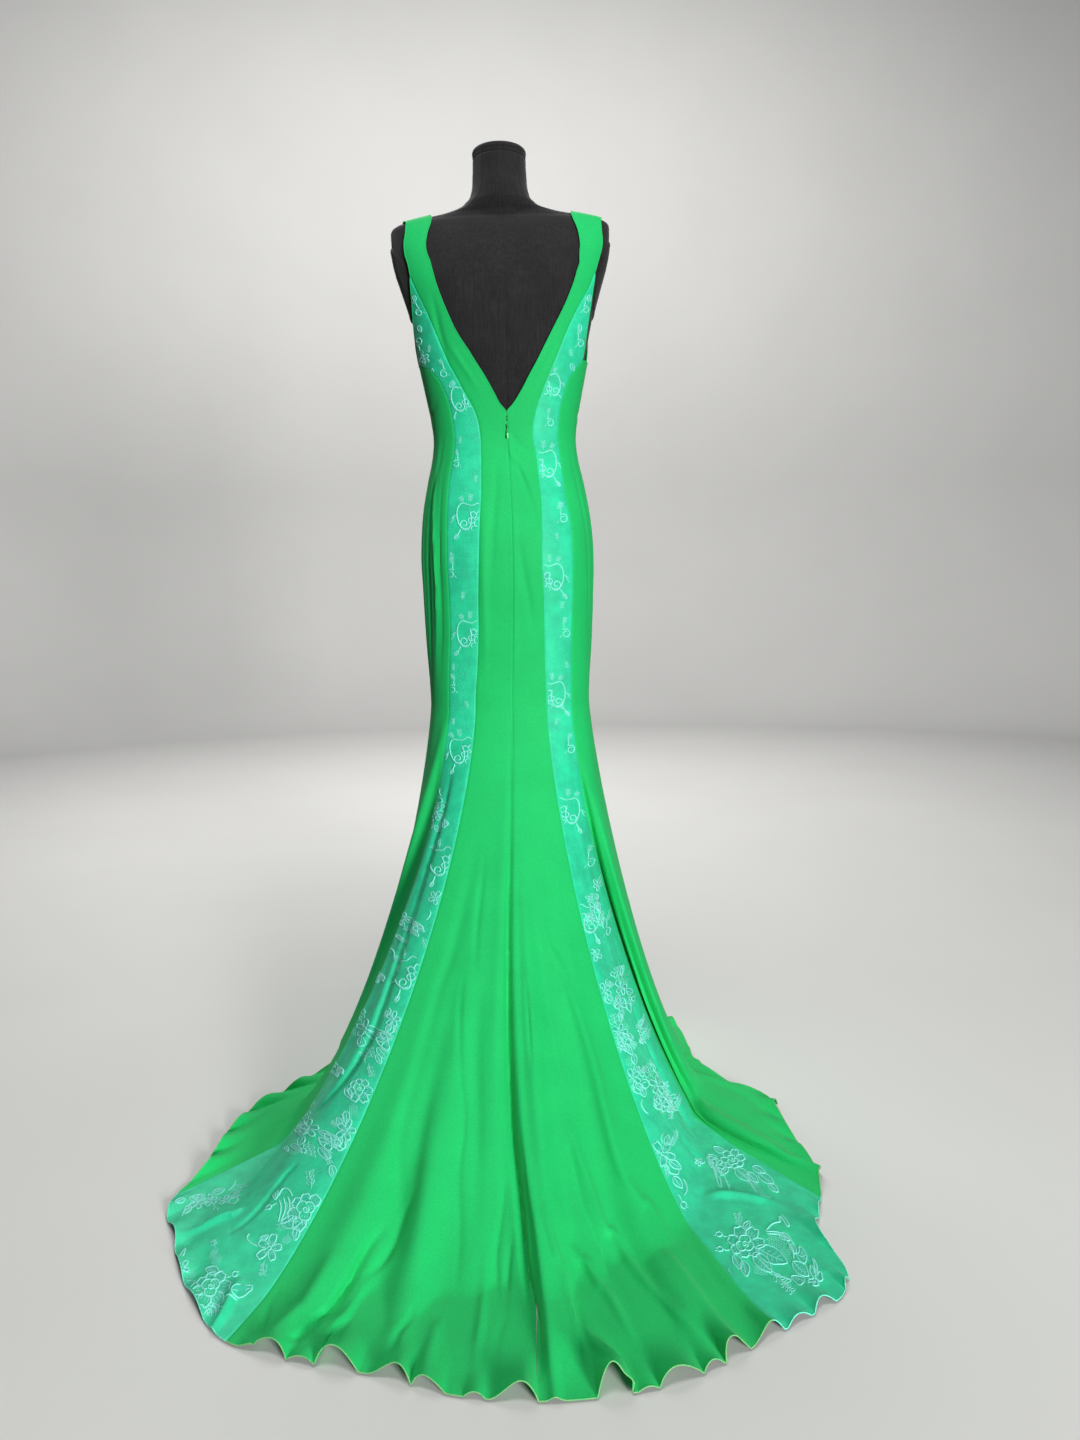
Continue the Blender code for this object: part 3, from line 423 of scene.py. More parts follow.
# Creases and ridges of the cloth: half width in millimetres, then places as station, place
# round the dress and rise in millimetres
CREASES = (
    # Waist and hips, at the back
    (3.5, ((1.135, -0.01, 0.0), (1.102, -0.1, 2.4), (1.085, -0.34, 2.7), (1.05, -0.69, 1.8),
           (1.01, -0.96, 0.0))),
    (3.0, ((1.118, -0.1, 0.0), (1.075, -0.38, -2.0), (1.02, -0.66, -2.1), (0.96, -0.93, -1.2))),
    (5.0, ((1.146, -0.05, 0.0), (1.126, -0.3, -1.8), (1.112, -0.6, -1.8), (1.098, -0.9, 0.0))),
    (7.0, ((0.97, -0.14, 0.0), (0.916, -0.3, -2.4), (0.85, -0.5, -2.7), (0.79, -0.66, 0.0))),
    (5.0, ((1.06, -0.05, 0.0), (0.95, -0.07, 1.4), (0.82, -0.06, 1.4), (0.7, -0.06, 0.0))),
    (7.0, ((1.03, 0.86, 0.0), (0.916, 0.86, 2.2), (0.81, 0.82, 2.2), (0.7, 0.8, 0.0))),
    (6.0, ((1.1, 0.4, 0.0), (1.04, 0.52, -1.4), (0.96, 0.6, -1.4), (0.88, 0.62, 0.0))),
    (6.0, ((1.38, 0.3, 0.0), (1.34, 0.55, -1.8), (1.312, 0.75, -2.4), (1.26, 0.97, -0.8))),
    (5.0, ((1.3, 0.62, 0.0), (1.25, 0.55, 1.5), (1.2, 0.5, 0.0))),
    (6.0, ((1.29, -0.6, 0.0), (1.24, -0.52, -1.7), (1.19, -0.5, 0.0))),
    # Side backs: upright folds from the waist to the thigh
    (3.6, ((1.13, 2.46, 0.0), (1.02, 2.3, 2.7), (0.932, 2.23, 3.9), (0.85, 2.24, 3.6), (0.7, 2.36, 0.0))),
    (2.6, ((1.13, 2.2, 0.0), (1.02, 2.15, -1.5), (0.93, 2.14, -2.4), (0.81, 2.16, -1.8),
           (0.7, 2.22, 0.0))),
    (4.0, ((1.15, 2.3, 0.0), (1.04, 2.38, -2.7), (0.93, 2.4, -4.2), (0.8, 2.46, -3.0),
           (0.66, 2.56, 0.0))),
    (4.0, ((1.1, 2.62, 0.0), (0.98, 2.58, 2.4), (0.86, 2.6, 2.7), (0.7, 2.7, 0.0))),
    (4.0, ((1.13, -2.3, 0.0), (1.02, -2.34, -2.1), (0.9, -2.4, -2.4), (0.74, -2.48, 0.0))),
    (4.0, ((1.08, -2.6, 0.0), (0.96, -2.58, 2.2), (0.82, -2.64, 2.0), (0.7, -2.7, 0.0))),
    (4.0, ((1.2, 2.2, 0.0), (1.18, 2.5, -2.0), (1.175, 2.9, -1.2))),
    (4.0, ((1.2, -2.2, 0.0), (1.18, -2.5, -2.0), (1.175, -2.9, -1.2))),
    (10.0, ((0.6, 2.08, 0.0), (0.551, 2.11, 4.5), (0.447, 2.26, 7.5), (0.357, 2.28, 7.5),
            (0.2, 2.24, 3.0))),
    # Lace: soft folds of its satin ground
    (7.0, ((0.52, 1.62, 0.0), (0.45, 1.58, -7.0), (0.382, 1.5, -12.0), (0.326, 1.37, -13.0),
           (0.283, 1.29, -12.0), (0.246, 1.34, -9.0), (0.2, 1.5, 0.0))),
    (12.0, ((0.48, 1.8, 0.0), (0.4, 1.76, 5.0), (0.32, 1.66, 6.0), (0.25, 1.62, 5.0), (0.18, 1.66, 0.0))),
    (5.0, ((0.175, 1.3, 0.0), (0.154, 1.35, -3.9), (0.099, 1.36, -3.9), (0.03, 1.4, -1.5))),
    (6.0, ((0.08, 1.46, 0.0), (0.02, 1.5, 6.8), (-0.3, 1.56, 7.5), (-0.7, 1.62, 3.8),
           (-0.95, 1.66, 0.0))),
    (6.0, ((0.02, 1.16, 0.0), (-0.2, 1.14, 6.8), (-0.6, 1.1, 7.5), (-1.0, 1.08, 3.8))),
    (5.0, ((0.35, -1.5, 0.0), (0.28, -1.58, -3.0), (0.21, -1.66, -3.3), (0.14, -1.72, 0.0))),
    (5.0, ((0.13, -1.45, 0.0), (0.08, -1.55, -3.9), (0.02, -1.66, -3.0), (-0.2, -1.74, 0.0))),
    (7.0, ((0.03, -1.24, 0.0), (-0.12, -1.4, 7.5), (-0.42, -1.6, 6.8), (-0.8, -1.72, 0.0))),
    (8.0, ((0.28, -1.76, 0.0), (0.235, -1.82, -6.8), (0.103, -1.87, -7.5), (-0.286, -1.94, -4.5))),
    # The right side back rolls forward beside the lace's seam and lies on the lace below
    (10.0, ((0.52, -2.16, 0.0), (0.42, -2.16, 3.0), (0.3, -2.16, 5.0), (0.17, -2.13, 7.0),
            (0.06, -2.1, 10.0), (-0.1, -2.08, 16.0), (-0.4, -2.07, 16.0), (-1.0, -2.06, 9.0))),
    (4.5, ((0.09, -2.0, 0.0), (-0.02, -2.0, -6.0), (-0.3, -2.0, -8.0), (-0.7, -2.0, -4.0),
           (-1.0, -2.0, 0.0))),
    (12.0, ((0.14, -2.4, 0.0), (0.06, -2.36, 4.0), (-0.3, -2.33, 6.0), (-1.0, -2.3, 5.0))),
    (10.0, ((0.06, -2.62, 0.0), (-0.2, -2.58, 5.0), (-1.0, -2.54, 5.0))),
    # Centre back, left: soft long troughs and, above the hem, one deep fold and a few fine creases
    (10.0, ((0.45, 0.66, 0.0), (0.357, 0.72, -3.0), (0.332, 0.76, -3.5), (0.296, 0.76, -3.0),
            (0.23, 0.74, -3.5), (0.202, 0.69, -4.0), (0.169, 0.62, -3.0), (0.13, 0.56, 0.0))),
    (5.0, ((0.43, 0.51, 0.0), (0.397, 0.5, -2.0), (0.367, 0.49, -2.2), (0.334, 0.44, 0.0))),
    (4.5, ((0.34, 0.56, 0.0), (0.316, 0.54, -1.8), (0.28, 0.47, -2.6), (0.24, 0.38, -2.6),
           (0.205, 0.37, -2.2), (0.157, 0.32, -1.8), (0.1, 0.3, 0.0))),
    (11.0, ((0.34, 0.4, 0.0), (0.286, 0.36, -3.4), (0.242, 0.3, -4.0), (0.19, 0.26, -3.0),
            (0.14, 0.24, 0.0))),
    (14.0, ((0.3, 0.6, 0.0), (0.23, 0.56, 3.2), (0.17, 0.5, 3.6), (0.1, 0.47, 0.0))),
    (5.5, ((0.165, 0.66, 0.0), (0.136, 0.7, -6.0), (0.101, 0.71, -9.5), (0.069, 0.72, -11.0),
           (-0.143, 0.75, -10.0), (-0.5, 0.77, -6.5), (-0.8, 0.81, 0.0))),
    (9.0, ((0.15, 0.64, 0.0), (0.1, 0.66, 3.5), (0.05, 0.67, 5.5), (-0.2, 0.69, 5.5), (-0.6, 0.7, 3.0),
           (-0.9, 0.71, 0.0))),
    (11.0, ((0.13, 0.82, 0.0), (0.07, 0.82, 4.0), (-0.2, 0.84, 5.5), (-0.6, 0.86, 3.5),
            (-1.0, 0.87, 0.0))),
    (6.0, ((0.19, 0.58, 0.0), (0.167, 0.6, -3.2), (0.144, 0.61, -4.4), (0.124, 0.64, -4.4),
           (0.1, 0.68, 0.0))),
    (4.5, ((0.08, 0.65, 0.0), (0.05, 0.65, -2.2), (-0.286, 0.66, -3.4), (-0.681, 0.655, -2.6),
           (-0.9, 0.65, 0.0))),
    (4.5, ((0.06, 0.43, 0.0), (0.03, 0.44, -2.4), (-0.244, 0.46, -3.4), (-0.504, 0.46, -3.0),
           (-0.85, 0.46, 0.0))),
    (9.0, ((0.06, 0.34, 0.0), (-0.05, 0.34, 3.0), (-0.5, 0.34, 3.6), (-1.0, 0.34, 2.0))),
    (4.0, ((0.073, 0.97, 0.0), (-0.2, 0.95, -3.6), (-0.6, 0.92, -4.6), (-1.0, 0.9, -3.0))),
    (4.0, ((0.2, 0.13, 0.0), (0.182, 0.13, -2.2), (0.142, 0.15, -3.0), (0.106, 0.14, -3.0),
           (0.028, 0.11, 0.0))),
    (4.0, ((0.165, 0.08, 0.0), (0.114, 0.1, -3.0), (-0.008, 0.11, -3.4), (-0.378, 0.13, -2.8),
           (-0.924, 0.12, 0.0))),
    (6.0, ((0.15, 0.2, 0.0), (0.08, 0.19, 3.0), (-0.2, 0.19, 3.4), (-0.7, 0.19, 0.0))),
    # The fold along the centre back seam: a narrow groove with the right side lapping over it
    (4.6, ((0.64, 0.03, 0.0), (0.52, 0.07, -2.0), (0.392, 0.12, -5.0), (0.321, 0.12, -8.0),
           (0.24, 0.09, -10.5), (0.184, 0.05, -12.5), (0.131, 0.03, -13.0), (0.02, 0.0, -10.0),
           (-0.3, -0.01, -6.5), (-0.8, -0.01, 0.0))),
    (7.0, ((0.56, 0.0, 0.0), (0.392, 0.05, 2.2), (0.321, 0.05, 3.4), (0.24, 0.02, 5.0),
           (0.184, -0.02, 6.5), (0.131, -0.05, 7.5), (0.02, -0.06, 7.5), (-0.3, -0.06, 6.5),
           (-1.0, -0.06, 5.0))),
    (10.0, ((0.5, 0.2, 0.0), (0.392, 0.22, 1.8), (0.3, 0.21, 2.6), (0.2, 0.16, 2.6), (0.15, 0.14, 0.0))),
    # Centre back, right: long rays that bend out to the hem
    (8.0, ((0.45, -0.22, 0.0), (0.362, -0.36, 2.4), (0.339, -0.52, 3.4), (0.298, -0.63, 4.2),
           (0.258, -0.67, 4.8), (0.217, -0.66, 4.8), (0.169, -0.66, 4.0), (0.131, -0.73, 3.2),
           (0.084, -0.81, 3.0), (-0.3, -0.85, 0.0))),
    (10.0, ((0.42, -0.28, 0.0), (0.344, -0.3, -3.0), (0.304, -0.31, -3.8), (0.255, -0.34, -3.8),
            (0.222, -0.36, 0.0))),
    (7.0, ((0.235, -0.34, 0.0), (0.197, -0.38, 4.2), (0.165, -0.42, 5.2), (0.129, -0.45, 6.0),
           (0.083, -0.53, 6.0), (-0.21, -0.58, 5.6), (-0.487, -0.63, 4.0), (-0.9, -0.7, 0.0))),
    (6.0, ((0.215, -0.31, 0.0), (0.195, -0.33, -2.8), (0.157, -0.35, -4.0), (0.119, -0.39, -5.2),
           (0.06, -0.42, -5.2), (-0.252, -0.44, -3.0), (-0.5, -0.46, 0.0))),
    (5.0, ((0.17, -0.08, 0.0), (0.149, -0.1, 4.0), (0.116, -0.13, 6.2), (0.053, -0.16, 6.2),
           (-0.328, -0.18, 4.0), (-0.63, -0.18, 0.0))),
    (6.0, ((0.13, -0.24, 0.0), (0.112, -0.27, 5.4), (0.081, -0.32, 6.6), (-0.05, -0.36, 6.0),
           (-0.303, -0.39, 4.6), (-0.8, -0.43, 0.0))),
    (6.5, ((-0.1, -0.19, 0.0), (-0.37, -0.22, 5.5), (-0.571, -0.26, 7.5), (-0.8, -0.3, 7.5),
           (-1.0, -0.33, 6.0))),
    (5.0, ((-0.05, -0.25, 0.0), (-0.294, -0.29, -3.6), (-0.563, -0.33, -4.4), (-0.85, -0.37, 0.0))),
    (5.0, ((0.02, -0.2, 0.0), (-0.2, -0.205, -3.0), (-0.538, -0.21, -3.0), (-0.8, -0.2, 0.0))),
    (5.0, ((0.04, -0.92, 0.0), (-0.109, -0.93, -3.4), (-0.504, -0.92, -4.6), (-0.773, -0.94, -3.4),
           (-1.0, -0.95, 0.0))),
    (9.0, ((0.02, -0.74, 0.0), (-0.2, -0.76, 3.4), (-0.6, -0.78, 4.2), (-1.0, -0.79, 2.4))),
    (2.6, ((0.335, -0.07, 0.0), (0.316, -0.07, -2.4), (0.29, -0.07, -2.4), (0.27, -0.08, 0.0))),
    # Front: drag lines over the waist and upright folds of the skirt
    (5.0, ((1.19, 3.1, 0.0), (1.16, 3.4, -2.0), (1.15, 3.8, -0.8))),
    (5.0, ((1.19, -3.1, 0.0), (1.16, -3.4, -2.0), (1.15, -3.8, -0.8))),
    (5.0, ((1.13, 3.06, 0.0), (1.11, 3.3, 1.8), (1.115, 3.6, 0.0))),
    (5.0, ((1.12, -3.06, 0.0), (1.1, -3.34, 1.8), (1.105, -3.62, 0.0))),
    (9.0, ((0.76, 3.22, 0.0), (0.6, 3.24, 3.9), (0.3, 3.26, 7.8), (0.08, 3.26, 3.9))),
    (9.0, ((0.72, -3.36, 0.0), (0.56, -3.34, -3.9), (0.28, -3.34, -7.8), (0.08, -3.34, -2.6))),
    (8.0, ((0.7, 3.7, 0.0), (0.52, 3.66, -3.4), (0.26, 3.62, -6.5), (0.06, 3.6, -2.6))),
    (8.0, ((0.68, -3.8, 0.0), (0.5, -3.78, 3.4), (0.24, -3.76, 6.5), (0.06, -3.74, 2.6))),
)
CREASE_STEPS = 6
CREASE_REACH = 2.4

# Tucks: where the cloth is pushed straight back, away from an onlooker behind the train, or forward
TUCKS = (
    # The deep shadow between the lace and the right side back, and the side back's fold over the lace
    (6.0, ((0.52, -2.006, 0.0), (0.43, -2.008, 20.0), (0.364, -2.01, 38.0), (0.3, -2.01, 48.0),
           (0.207, -2.01, 54.0), (0.14, -2.01, 50.0), (0.07, -2.008, 36.0), (-0.02, -2.005, 18.0),
           (-0.3, -2.0, 0.0))),
    (18.0, ((0.48, -2.04, 0.0), (0.4, -2.05, 20.0), (0.3, -2.055, 32.0), (0.2, -2.055, 36.0),
            (0.12, -2.05, 30.0), (0.05, -2.04, 14.0), (-0.05, -2.03, 0.0))),
    (9.0, ((0.1, -2.075, 0.0), (0.0, -2.07, -14.0), (-0.3, -2.06, -22.0), (-0.8, -2.06, -12.0))),
)


def smooth_line(places, steps):
    """Points on a smooth curve through a few places, with as many steps between each two."""
    places = np.array(places, dtype=float)
    padded = np.vstack([2.0 * places[0] - places[1], places, 2.0 * places[-1] - places[-2]])
    t = np.linspace(0.0, 1.0, steps, endpoint=False)[:, None]
    runs = []
    for a, b, c, d in zip(padded, padded[1:], padded[2:], padded[3:]):
        bend = 2.0 * a - 5.0 * b + 4.0 * c - d
        twist = 3.0 * b - a - 3.0 * c + d
        runs.append(0.5 * (2.0 * b + (c - a) * t + bend * t * t + twist * t ** 3))
    return np.vstack(runs + [places[-1:]])


class Crease:
    """A soft trough or ridge along a line on the cloth."""

    def __init__(self, half_width, places):
        line = smooth_line(places, CREASE_STEPS)
        self.half_width = half_width / 1000.0
        self.points = cloth_point(np.maximum(line[:, 0], -1.0), line[:, 1])
        self.rise = line[:, 2] / 1000.0

    def add_to(self, rise, points):
        reach = CREASE_REACH * self.half_width
        low, high = self.points.min(axis=0) - reach, self.points.max(axis=0) + reach
        near = np.nonzero(((points > low) & (points < high)).all(axis=1))[0]
        here = points[near]
        best = np.full(len(near), reach)
        depth = np.zeros(len(near))
        for k in range(len(self.points) - 1):
            start, way = self.points[k], self.points[k + 1] - self.points[k]
            share = np.clip((here - start) @ way / max(way @ way, 1e-12), 0.0, 1.0)
            distance = np.linalg.norm(here - start - share[:, None] * way, axis=1)
            closer = distance < best
            best[closer] = distance[closer]
            rises = self.rise[k] + (self.rise[k + 1] - self.rise[k]) * share
            depth[closer] = rises[closer]
        rise[near] += depth * np.exp(-(best / self.half_width) ** 2)


def dressed_point(station, around):
    """Outer face of the finished cloth: the plain surface with its creases."""
    point = cloth_point(station, around)
    rise = np.zeros(len(point))
    for crease in ALL_CREASES:
        crease.add_to(rise, point)
    moved = point + cloth_normal(station, around) * rise[:, None]
    back = np.zeros(len(point))
    for tuck in ALL_TUCKS:
        tuck.add_to(back, point)
    moved += unit((point - np.array(CAMERA_PLACE)) * np.array([1.0, 1.0, 0.0])) * back[:, None]
    above = moved[:, 2] - FLOOR_LIFT
    moved[:, 2] = FLOOR_LIFT + (above + np.sqrt(above * above + FLOOR_SOFTNESS ** 2)) / 2.0
    return moved


ALL_CREASES = [Crease(half_width, places) for half_width, places in CREASES]
ALL_TUCKS = [Crease(half_width, places) for half_width, places in TUCKS]

# Meshes of the cloth
CLOTH_THICKNESS = 0.0009
ROW_STEP = 0.0068
HEM_ROW_STEP = 0.0042
FINE_HEM = 0.110          # cloth beside the hem with the closer rows
COLUMN_STEP = 0.0042
EDGE_INSET = 1e-5
SEAM_DEPTH = 0.0008
SEAM_WIDTH = 0.0026
SEAM_COLUMNS = (0.0, 0.0007, 0.0015, 0.0028)


def stations_down(middle, top, row_step):
    """Stations of a panel's rows, from its top edge to the hem, evenly spaced on the cloth."""
    body = np.linspace(top, KNEE, max(2, round((top - KNEE) / row_step)), endpoint=False)
    fine = np.concatenate([np.linspace(KNEE, 0.0, 400), -np.linspace(0.0, 1.0, 120)[1:]])
    line = cloth_point(fine, np.full(len(fine), middle))
    length = lengths_along(line)
    upper = length[-1] - FINE_HEM
    marks = np.linspace(0.0, upper, round(upper / row_step), endpoint=False)
    hem_step = HEM_ROW_STEP * row_step / ROW_STEP
    hem = np.linspace(upper, length[-1], round(FINE_HEM / hem_step) + 1)
    return np.concatenate([body, np.interp(np.concatenate([marks, hem]), length, fine)])


def columns_across(start, end, station, column_step):
    """Places of a row's points between two seams, closer together beside them, and its width."""
    probe = np.linspace(start, end, 9)
    line = cloth_point(np.full(9, station), probe)
    width = float(np.linalg.norm(np.diff(line, axis=0), axis=1).sum())
    count = 8
    while width / count > column_step:
        count = math.ceil(count * 1.4)
    beside = np.array(SEAM_COLUMNS) * min(1.0, width / 0.016) / width
    even = np.linspace(beside[-1], 1.0 - beside[-1], count + 1)[1:-1]
    share = np.concatenate([beside, even, 1.0 - beside[::-1]])
    return start + (end - start) * share, width


def stitch(upper, lower, upper_share, lower_share):
    """Faces between two rows of point numbers, which may differ in count."""
    if len(upper) == len(lower):
        return list(zip(upper, upper[1:], lower[1:], lower))
    faces = []
    i = j = 0
    while i < len(upper) - 1 or j < len(lower) - 1:
        last = j == len(lower) - 1
        if last or (i < len(upper) - 1 and upper_share[i + 1] <= lower_share[j + 1]):
            faces.append((upper[i], upper[i + 1], lower[j]))
            i += 1
        else:
            faces.append((upper[i], lower[j + 1], lower[j]))
            j += 1
    return faces


def seam_drop(around, start, end, width, sewn):
    """How far the cloth turns in beside the seams of a row; sewn says which ends are seams."""
    drop = np.zeros_like(around)
    for end_place, is_sewn in zip((start, end), sewn):
        distance = np.abs(around - end_place) / abs(end - start) * width
        drop += is_sewn * SEAM_DEPTH * (1.0 - ease_step(0.0, SEAM_WIDTH, distance))
    return drop


def seam_share(place, station):
    """How far a seam is pressed in: at the centre back it runs out into the fold of the train."""
    return ease_step(0.46, 0.62, station) if abs(place) < 0.5 else 1.0


def point_normals(points, faces):
    """Normals at the points of a mesh, from its faces."""
    quads = np.array([face if len(face) == 4 else face + face[-1:] for face in faces])
    a, b, c, d = (points[quads[:, k]] for k in range(4))
    face_normals = np.cross(c - a, d - b)
    flat = quads[:, 2] == quads[:, 3]
    face_normals[flat] = np.cross(b[flat] - a[flat], c[flat] - a[flat])
    normals = np.zeros_like(points)
    for k in range(4):
        np.add.at(normals, quads[:, k], face_normals)
    return unit(normals)


def mesh_object(name, points, faces, uv=None, smooth_angle=50.0):
    mesh = bpy.data.meshes.new(name)
    mesh.from_pydata([tuple(point) for point in points], [], [tuple(int(k) for k in f) for f in faces])
    if uv is not None:
        layer = mesh.uv_layers.new(name="metres")
        corners = np.zeros(len(mesh.loops), dtype=np.int32)
        mesh.loops.foreach_get("vertex_index", corners)
        layer.data.foreach_set("uv", np.asarray(uv, dtype=np.float32)[corners].ravel())
    mesh.shade_smooth()
    mesh.set_sharp_from_angle(angle=math.radians(smooth_angle))
    thing = bpy.data.objects.new(name, mesh)
    bpy.context.scene.collection.objects.link(thing)
    return thing


def shell_object(name, points, faces, uv):
    """A thin closed shell: the outer face, an inner face and a rim along every free edge."""
    count = len(points)
    inner = points - point_normals(points, faces) * CLOTH_THICKNESS
    inner[:, 2] = np.maximum(inner[:, 2], FLOOR_LIFT - CLOTH_THICKNESS)
    sides = set()
    for face in faces:
        sides.update(zip(face, face[1:] + face[:1]))
    inside = [tuple(k + count for k in reversed(face)) for face in faces]
    rims = [(b, a, a + count, b + count) for a, b in sides if (b, a) not in sides]
    every = list(faces) + inside + rims
    return mesh_object(name, np.vstack([points, inner]), every, np.vstack([uv, uv]))


def cloth_panel(name, start, end, top, sewn_above=(BACK_NECK, SHOULDER), step=1.0):
    """A panel between two places round the dress, from its top edge to the hem.

    sewn_above holds, for each of its two edges, the station below which a seam joins it to the next.
    """
    stations = stations_down((start + end) / 2.0, top, ROW_STEP * step)
    rows = [columns_across(start, end, station, COLUMN_STEP * step) for station in stations]
    station = np.concatenate([np.full(len(row), s) for s, (row, width) in zip(stations, rows)])
    around = np.concatenate([row for row, width in rows])
    drop = np.concatenate([
        seam_drop(row, start, end, width, [
            (s < top_end) * seam_share(place, s) for place, top_end in zip((start, end), sewn_above)
        ])
        for s, (row, width) in zip(stations, rows)
    ])
    points = dressed_point(station, around) - cloth_normal(station, around) * drop[:, None]
    faces, marks, first = [], [], 0
    for row, width in rows:
        marks.append(list(range(first, first + len(row))))
        first += len(row)
    for k in range(len(rows) - 1):
        upper, lower = rows[k][0], rows[k + 1][0]
        faces += stitch(marks[k], marks[k + 1], upper, lower)
    middle = cloth_point(stations, np.full(len(stations), (start + end) / 2.0))
    down = lengths_along(middle)
    across = [(row - (start + end) / 2.0) * width / abs(end - start) for row, width in rows]
    uv = np.stack([
        np.concatenate(across),
        np.concatenate([np.full(len(row), -v) for v, (row, width) in zip(down, rows)]),
    ], axis=1)
    return shell_object(name, points, faces, uv)


def front_object(name, step=1.0):
    """The front: two straps that run into one piece below the point of the neckline."""
    stations = stations_down(3.5, SHOULDER, ROW_STEP * step)
    stations = np.sort(np.append(stations, FRONT_NECK))[::-1]
    ends = {1: (3.0 + EDGE_INSET, 4.0 - EDGE_INSET), -1: (-4.0 + EDGE_INSET, -3.0 - EDGE_INSET)}
    halves = {side: [] for side in (1, -1)}
    for side in (1, -1):
        for station in stations:
            halves[side].append(columns_across(*ends[side], station, COLUMN_STEP * step * 1.3))
    middle = cloth_point(stations, np.full(len(stations), 3.5))
    down = lengths_along(middle)
    points, uv, faces, marks = [], [], [], {1: [], -1: []}
    total = 0
    for side in (1, -1):
        start, end = ends[side]
        station = np.concatenate([
            np.full(len(row), s) for s, (row, width) in zip(stations, halves[side])
        ])
        around = np.concatenate([row for row, width in halves[side]])
        sewn = (True, False) if side > 0 else (False, True)
        drop = np.concatenate([
            seam_drop(row, start, end, width, [on and s < UNDERARM for on in sewn])
            for s, (row, width) in zip(stations, halves[side])
        ])
        points.append(dressed_point(station, around) - cloth_normal(station, around) * drop[:, None])
        across = [(row - side * 4.0) * width for row, width in halves[side]]
        lengths = [np.full(len(row), -v) for v, (row, width) in zip(down, halves[side])]
        uv.append(np.stack([np.concatenate(across), np.concatenate(lengths)], axis=1))
        for row, width in halves[side]:
            marks[side].append(list(range(total, total + len(row))))
            total += len(row)
    points, uv = np.vstack(points), np.vstack(uv)
    for k, station in enumerate(stations):
        if station < FRONT_NECK:
            left, right = marks[1][k][-1], marks[-1][k][0]
            points[left] = (points[left] + points[right]) / 2.0
            marks[-1][k][0] = left
    for side in (1, -1):
        for k in range(len(stations) - 1):
            upper, lower = halves[side][k][0], halves[side][k + 1][0]
            faces += stitch(marks[side][k], marks[side][k + 1], upper, lower)
    used = sorted({k for face in faces for k in face})
    renamed = {old: new for new, old in enumerate(used)}
    faces = [tuple(renamed[k] for k in face) for face in faces]
    return shell_object(name, points[used], faces, uv[used])


def form_point(height, angle, inset=0.0):
    """Surface of the dress form at a height, in a direction from the centre back."""
    half, back, front, square = figure_size(height)
    inset = inset + FORM_INSET
    depth = np.where(np.cos(angle) > 0.0, back, front) - inset
    sine, cosine = np.sin(angle), np.cos(angle)
    x = np.sign(sine) * np.abs(sine) ** (2.0 / square) * (half - inset)
    y = np.sign(cosine) * np.abs(cosine) ** (2.0 / square) * depth
    return tilted(np.stack([x, y, height], axis=1))


def tube_faces(ring_count, sides, closed=False):
    """Faces of a tube of rings of points, counted ring by ring."""
    faces = []
    for ring in range(ring_count if closed else ring_count - 1):
        here, there = ring * sides, (ring + 1) % ring_count * sides
        for s in range(sides):
            t = (s + 1) % sides
            faces.append((here + s, here + t, there + t, there + s))
    if not closed:
        faces.append(tuple(reversed(range(sides))))
        faces.append(tuple(range((ring_count - 1) * sides, ring_count * sides)))
    return faces


def ring_offsets(across, up, turns):
    """Offsets of the points of a ring round each place of a line."""
    ring = across[:, None, :] * np.cos(turns)[None, :, None]
    return ring + up[:, None, :] * np.sin(turns)[None, :, None]


def tube_object(name, lines, radius, sides=8, closed=False):
    """Round cords along lines of points."""
    points, faces = [], []
    for line in lines:
        line = np.asarray(line, dtype=float)
        way = np.gradient(line, axis=0)
        if closed:
            way = np.roll(line, -1, axis=0) - np.roll(line, 1, axis=0)
        way = unit(way)
        helper = np.where(np.abs(way[:, 2:3]) > 0.9, [[0.0, 1.0, 0.0]], [[0.0, 0.0, 1.0]])
        side = unit(np.cross(way, helper))
        turns = np.linspace(0.0, 2.0 * math.pi, sides, endpoint=False)
        ring = ring_offsets(side, np.cross(side, way), turns)
        first = len(points)
        points.extend((line[:, None, :] + ring * radius).reshape(-1, 3))
        faces += [tuple(k + first for k in face) for face in tube_faces(len(line), sides, closed)]
    return mesh_object(name, np.array(points), faces)


def edge_line(around, stations):
    """Points along an edge of the cloth that runs up and down."""
    station = np.asarray(stations, dtype=float)
    place = np.full(len(station), float(around))
    return dressed_point(station, place) - cloth_normal(station, place) * CLOTH_THICKNESS / 2.0


def edge_object(name, radius, step=1.0):
    """Turned edges of the neckline, the armholes and the front neck, as thin folded rims."""
    count = round(90 / step)
    back = np.linspace(SHOULDER, BACK_NECK, count)
    lines = [edge_line(EDGE_INSET, back), edge_line(-EDGE_INSET, back)]
    strap = np.linspace(SHOULDER, LACE_TOP, count // 3)
    scye = np.linspace(LACE_TOP, UNDERARM, count // 2)[1:]
    front_scye = np.linspace(UNDERARM, SHOULDER, count)
    for side in (1, -1):
        under = np.linspace(2.0, 3.0, count // 4) * side
        bottom = np.full(len(under), UNDERARM)
        line = [
            edge_line(side * (1.0 - EDGE_INSET), strap),
            edge_line(side * (2.0 - EDGE_INSET), scye),
            dressed_point(bottom, under)[1:-1]
            - cloth_normal(bottom, under)[1:-1] * CLOTH_THICKNESS / 2.0,
            edge_line(side * (3.0 + EDGE_INSET), front_scye),
        ]
        lines.append(np.vstack(line))
        front = np.linspace(SHOULDER, FRONT_NECK, count)
        lines.append(edge_line(side * (4.0 - EDGE_INSET), front))
    return tube_object(name, lines, radius, sides=8)


